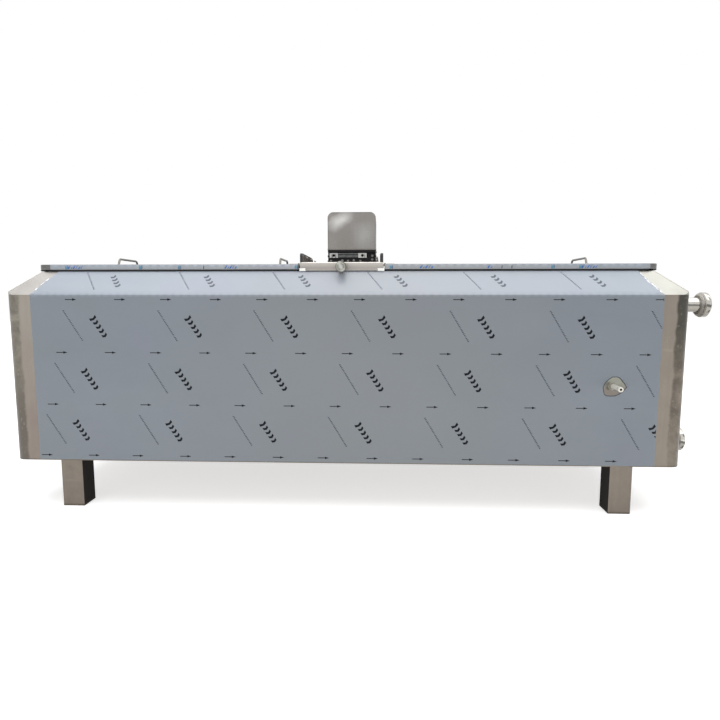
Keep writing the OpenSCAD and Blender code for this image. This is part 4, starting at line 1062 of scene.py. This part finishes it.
def bar(u, foot, head, low, high):
    """A four-sided outline: the left and right ends of its foot and of its head, from u."""
    return [(u + foot[0], low), (u + foot[1], low), (u + head[1], high), (u + head[0], high)]


def rim_print(name, body):
    """Lozenges and upright stripes on the front rim."""
    top, bottom = -0.0032, -LID_DROP + 0.0018
    mid = (top + bottom) / 2
    blue = []
    for a, b in RIM_BLUE[body]:
        n = max(2, round((b - a) / 0.0095))
        for i in range(n):
            foot, head = (bottom, mid + 0.0022) if i % 3 == 1 else (bottom + 0.0004, top - 0.0002)
            wide = 0.0015 if i % 2 else 0.0026
            lean = 0.30 * (head - foot)
            blue.append(bar(TANK_X + a + (b - a) * (i + 0.5) / n, (-wide - lean, wide - lean),
                            (lean - wide, lean + wide), foot, head))
    printed(name + "_lozenges", blue, lid_place, "ink_blue", body)
    full = (-LID_DROP + 0.0006, -0.0022)
    for kind, look, places, foot, head, ends in (
            ("_stripes", "ink_pale", RIM_PALE, (-0.0040, 0.0034), (-0.0034, 0.0040), full),
            ("_bars", "ink_teal", RIM_PALE, (0.0050, 0.0076), (0.0054, 0.0080), full),
            ("_ticks", "ink_grey", RIM_DARK, (-0.0014, 0.0014), (0.0002, 0.0030), (bottom, top))):
        bars = [bar(TANK_X + u, foot, head, *ends) for u in places[body]]
        printed(name + kind, bars, lid_place, look, body)


# Welds
def weld_group(name, paths, body=ROOT):
    bm = bmesh.new()
    for points, settings in paths:
        bead(bm, points, **settings)
    add_piece(name, bm, "weld_steel", body)


def seam(a, b, step, radius, ripple, up=WAY_Z):
    return line(a, b, step), {"radius": radius, "ripple": ripple, "up": up}


def round_weld(centre, reach, axis, radius, step=0.0035, ripple=0.12):
    return ring(centre, reach, axis, step), {"radius": radius, "closed": True, "up": axis, "ripple": ripple}


def square_weld(centre):
    """The weld round a leg's head: a square with rounded corners."""
    half, r, step = 0.0408, 0.006, 0.0035
    points = []
    for i, (sx, sy) in enumerate(((1, 1), (-1, 1), (-1, -1), (1, -1))):
        corner = Vector((centre.x + sx * (half - r), centre.y + sy * (half - r), BODY_Z))
        for k in range(5):
            t = pi / 2 * (i + k / 4)
            points.append(corner + r * Vector((cos(t), sin(t), 0)))
    return [p for a, b in zip(points, after(points)) for p in line(a, b, step)[:-1]], \
        {"radius": 0.0024, "closed": True}


def welds():
    corners = [(sx, sy) for sx in (-1, 1) for sy in (-1, 1)]
    weld_group("leg_welds", [square_weld(middle("leg_" + place)) for place in (
        "front_left", "front_right", "rear_left", "rear_right")])
    # The hips' own corners are rounded by 38 mm
    cut = 0.038 * (1 - 1 / sqrt(2))
    weld_group("hip_welds", [seam(
        vat(sx * (HALF_L - cut * 1.05), sy * (HALF_W - cut), CREASE_Z + 0.0105),
        vat(sx * (HALF_L - END_LEAN), sy * (HALF_W - FRONT_LEAN), SEAT_Z - 0.0008), 0.003, 0.0013, 0.10)
        for sx, sy in corners])
    weld_group("pipe_welds", [round_weld((END_X, middle(node).y, height), 0.0272, WAY_X, 0.0024)
                              for node, height in PIPE_Z.items()])
    weld_group("front_ring_welds", [
        round_weld((POCKET.x, PANEL_LOW.y, POCKET.z), 0.0124, WAY_Y, 0.0014, 0.0024),
        round_weld((RINSE.x, BRIDGE_LOW.y, RINSE.z), 0.0137, WAY_Y, 0.0017, 0.0028)])
    for handle in ("left_outer_handle", "left_inner_handle", "right_outer_handle"):
        low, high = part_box(handle)
        weld_group(handle + "_welds", [
            round_weld(((low.x + high.x) / 2, y, LID_TOP + 0.0006), 0.0054, WAY_Z, 0.0017, 0.002, 0.16)
            for y in (low.y + 0.0052, high.y - 0.0052)], handle.split("_")[0] + "_lid")
    low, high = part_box("liner_front_wall")
    floor_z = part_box("liner_front_floor")[0].z + 0.002
    walls = [TANK_Y + side * (HALF_W - 0.060) for side in (-1, 1)]
    seams = [seam((low.x + 0.004, y, z), (high.x - 0.004, y, z), 0.012, 0.0016, 0.08)
             for y, z in [(y, z) for y in walls for z in (low.z, high.z)] + [(TANK_Y, floor_z)]]
    seams += [seam((x, y, low.z), end, 0.008, 0.0018, 0.10, WAY_X)
              for x in (low.x, high.x) for y in walls for end in ((x, y, high.z), (x, TANK_Y, floor_z))]
    weld_group("liner_welds", seams)


# Small hardware
def hinge_screws():
    for sign, body in SIDES:
        low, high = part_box(body + "_hinges")
        bm = bmesh.new()
        x = (high.x - 0.011) if sign > 0 else (low.x + 0.011)
        for y0 in (low.y, high.y - 0.060):
            for k in (0.010, 0.030, 0.050):
                socket_screw(bm, (x, y0 + k, LID_TOP + 0.0020), WAY_Z)
        add_piece(body + "_hinge_screws", bm, "screw_steel", body, sharp=35)


# The bolts in the gearbox's front: share of the hood's length, height over the bridge
FRONT_BOLTS = ((0.06, 0.030), (0.30, 0.032), (0.42, 0.030), (0.54, 0.033), (0.68, 0.030), (0.93, 0.036),
               (0.93, 0.052), (0.06, 0.054))


def gearbox_bolts():
    """Bolts on the gearbox's front and ends, and the plug in its right end."""
    bm = bmesh.new()
    x0, x1 = HOOD_LOW.x, HOOD_HIGH.x
    for share, dz in FRONT_BOLTS:
        place = (x0 + (x1 - x0) * share, GEARBOX_FRONT + 0.009, BRIDGE_TOP + dz)
        hex_bolt(bm, place, (0, -1, 0), 7.8, share)
    for y in (TANK_Y - 0.078, TANK_Y + 0.078):
        for z in (BRIDGE_TOP + 0.030, BRIDGE_TOP + 0.052):
            hex_bolt(bm, (x1, y, z), WAY_X, 8)
            hex_bolt(bm, (x0, y, z), (-1, 0, 0), 8)
    lathe(bm, (x1, TANK_Y, BRIDGE_TOP + 0.030), WAY_X,
          [(0, -1), (11, -1), (11, 2), (9.5, 3), (9.5, 5.5), (8, 6.5), (4.5, 6.5), (4.5, 3), (0, 3)],
          36, hexed=(3, 4))
    add_piece("gearbox_bolts", bm, "dark_bolt", sharp=30)


def lid_end_shadow_strips():
    """A strip of black rubber under each lid's overhanging end, put there as a painted shadow in the gap."""
    for sign, body in SIDES:
        low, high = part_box(body.replace("lid", "gasket"))
        start = (high.x if sign > 0 else low.x) + sign * 0.0004
        stop = TANK_X + sign * (LID_END - 0.0085)
        z0, z1 = low.z + 0.0010, LID_LOW.z - 0.0002
        outline = [(start, z1), (start, z0), (stop - sign * 0.003, z0), (stop - sign * 0.0008, z0 + 0.0012),
                   (stop, z1)]
        bm = bmesh.new()
        prism(bm, *([Vector((x, y, z)) for x, z in outline] for y in (low.y + 0.004, high.y - 0.004)))
        add_piece(body + "_end_shadow_strip", bm, "rubber_black", body, sharp=30)


def hood_hem():
    """The folded lower edge of the hood: a slim rounded band that stands a little proud."""
    def corners(out):
        x0, x1, y0, y1 = HOOD_LOW.x - out, HOOD_HIGH.x + out, HOOD_LOW.y - out, HOOD_HIGH.y + out
        return [Vector((x, y, 0)) for x, y in ((x0, y0), (x1, y0), (x1, y1), (x0, y1))]

    r = 0.0012
    z0, z1 = HOOD_LOW.z + 0.0004, HOOD_LOW.z + 0.0058
    profile = [(0.0, z0 + r), (0.15, z0 + 0.3 * r), (1.0, z0), (1.0, z1), (0.15, z1 - 0.3 * r), (0.0, z1 - r)]
    bm = bmesh.new()
    skin(bm, [[bm.verts.new(a.lerp(b, t) + Vector((0, 0, z))) for t, z in profile]
              for a, b in zip(corners(0.0011), corners(-0.0004))], closed=True)
    add_piece("hood_hem", bm, "hem_steel", sharp=50)


def rinse_fitting():
    """The rinse cap's raised ring and the small drain stub under it."""
    low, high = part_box("rinse_cap")
    bm = bmesh.new()
    lathe(bm, (RINSE.x, low.y + 0.0028, RINSE.z), (0, -1, 0),
          [(0, 0.4), (6.6, 0.4), (7.2, 1.6), (8.8, 2), (9.8, 1.2), (10.4, -0.6), (0, -0.6)], 40)
    lathe(bm, (RINSE.x, low.y + 0.0095, RINSE.z), (0, -1, 0),
          [(0, -5.2), (16.3, -5.2), (16.95, -4.4), (16.95, -2.4), (16.3, -1.6), (0, -1.6)], 48)
    add_piece("rinse_cap_rings", bm, "cap_steel", "rinse_cap", sharp=35)
    bm = bmesh.new()
    lathe(bm, (RINSE.x + 0.0002, high.y + 0.004, RINSE.z - 0.012), (0, 0, -1),
          [(0, -1), (4, -1), (4, 6), (5, 6.6), (5, 11.6), (4, 12.2), (3, 12.2), (3, 9), (0, 9)], 28)
    add_piece("rinse_drain_stub", bm, "bracket_steel", sharp=35)


def bridge_trim():
    """A folded lip along the bridge's front and rear top edges, coloured bright as a painted highlight."""
    bm = bmesh.new()
    low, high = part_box("lid_bumpers")
    for y in (BRIDGE_LOW.y + 0.0012, BRIDGE_HIGH.y - 0.0012):
        ends = ((x, y, BRIDGE_TOP - 0.0012) for x in (low.x + 0.002, high.x - 0.002))
        bead(bm, line(*ends, 0.01), 0.0016, ripple=0.03, sides=12)
    add_piece("bridge_lips", bm, "lip_steel_painted_highlight")


def bumper_trim():
    """Dome nuts that hold the rubber bumpers to their brackets."""
    low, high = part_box("bumper_brackets")
    bm = bmesh.new()
    for x, s in ((low.x + 0.010, 1), (high.x - 0.010, -1)):
        for k in (0.12, 0.5, 0.88):
            lathe(bm, (x, low.y + (high.y - low.y) * k, BRIDGE_TOP + 0.017), (s, 0, 0),
                  [(0, -1), (6.2, -1), (6.2, 0.6), (4.6, 0.8), (4.6, 3.2), (3.8, 4.2), (2.6, 5.6), (1, 6.2),
                   (0, 6.2)], 24, hexed=(3, 4))
    add_piece("bumper_nuts", bm, "bracket_steel", sharp=35)


# Floor, world and lamps
def stage():
    """A pale floor that fades to white away from the vat."""
    size = 14.0
    corners = [(-size, -size, 0), (size, -size, 0), (size, size, 0), (-size, size, 0)]
    mesh = bpy.data.meshes.new("floor")
    mesh.from_pydata(corners, [], [(0, 1, 2, 3)])
    floor = add_object("floor", mesh)
    s = surface("floor_white")
    x, y, _ = s.axes()
    tone = s.mix(s.noise(40, 4).fade(0.3, 0.7), (0.92, 0.92, 0.92, 1), (0.94, 0.94, 0.94, 1))
    glow = reach(x - TANK_X, y - TANK_Y).fade(1.4, 3.0, 0.62, 1.0)
    mesh.materials.append(s.finish(Base_Color=tone, Roughness=0.9, Emission_Color=(1, 1, 1, 1),
                                   Emission_Strength=glow))


def world():
    """Soft white light, and plain white where the camera, metal or glass sees past the floor."""
    bpy.context.scene.world = bpy.data.worlds.new("studio")
    s = Shader(bpy.context.scene.world, "ShaderNodeOutputWorld")
    soft, seen = (s.node("ShaderNodeBackground", 0, {"Strength": power, "Color": (1, 1, 1, 1)})
                  for power in (0.36, 1.0))
    camera_ray, glossy, through = (s.node("ShaderNodeLightPath", "Is %s Ray" % kind, {})
                                   for kind in ("Camera", "Glossy", "Transmission"))
    rays = camera_ray.most(glossy).most(through)
    s.link(s.node("ShaderNodeMixShader", 0, {0: rays, 1: soft, 2: seen}), s.surface)


camera()
bpy.context.scene.view_settings.view_transform = "Standard"
dress_nodes()
body_films()
lid_films()
welds()
hinge_screws()
gearbox_bolts()
lid_end_shadow_strips()
hood_hem()
rinse_fitting()
bridge_trim()
bumper_trim()
stage()
world()
area_light("top_soft", vat(0.25, -0.9, 3.6), vat(0.1, -0.4, 0.5), (6.0, 4.0), 150)
area_light("front_soft", vat(-1.6, -4.6, 2.2), vat(0, -0.3, 0.6), (3.0, 2.0), 12)
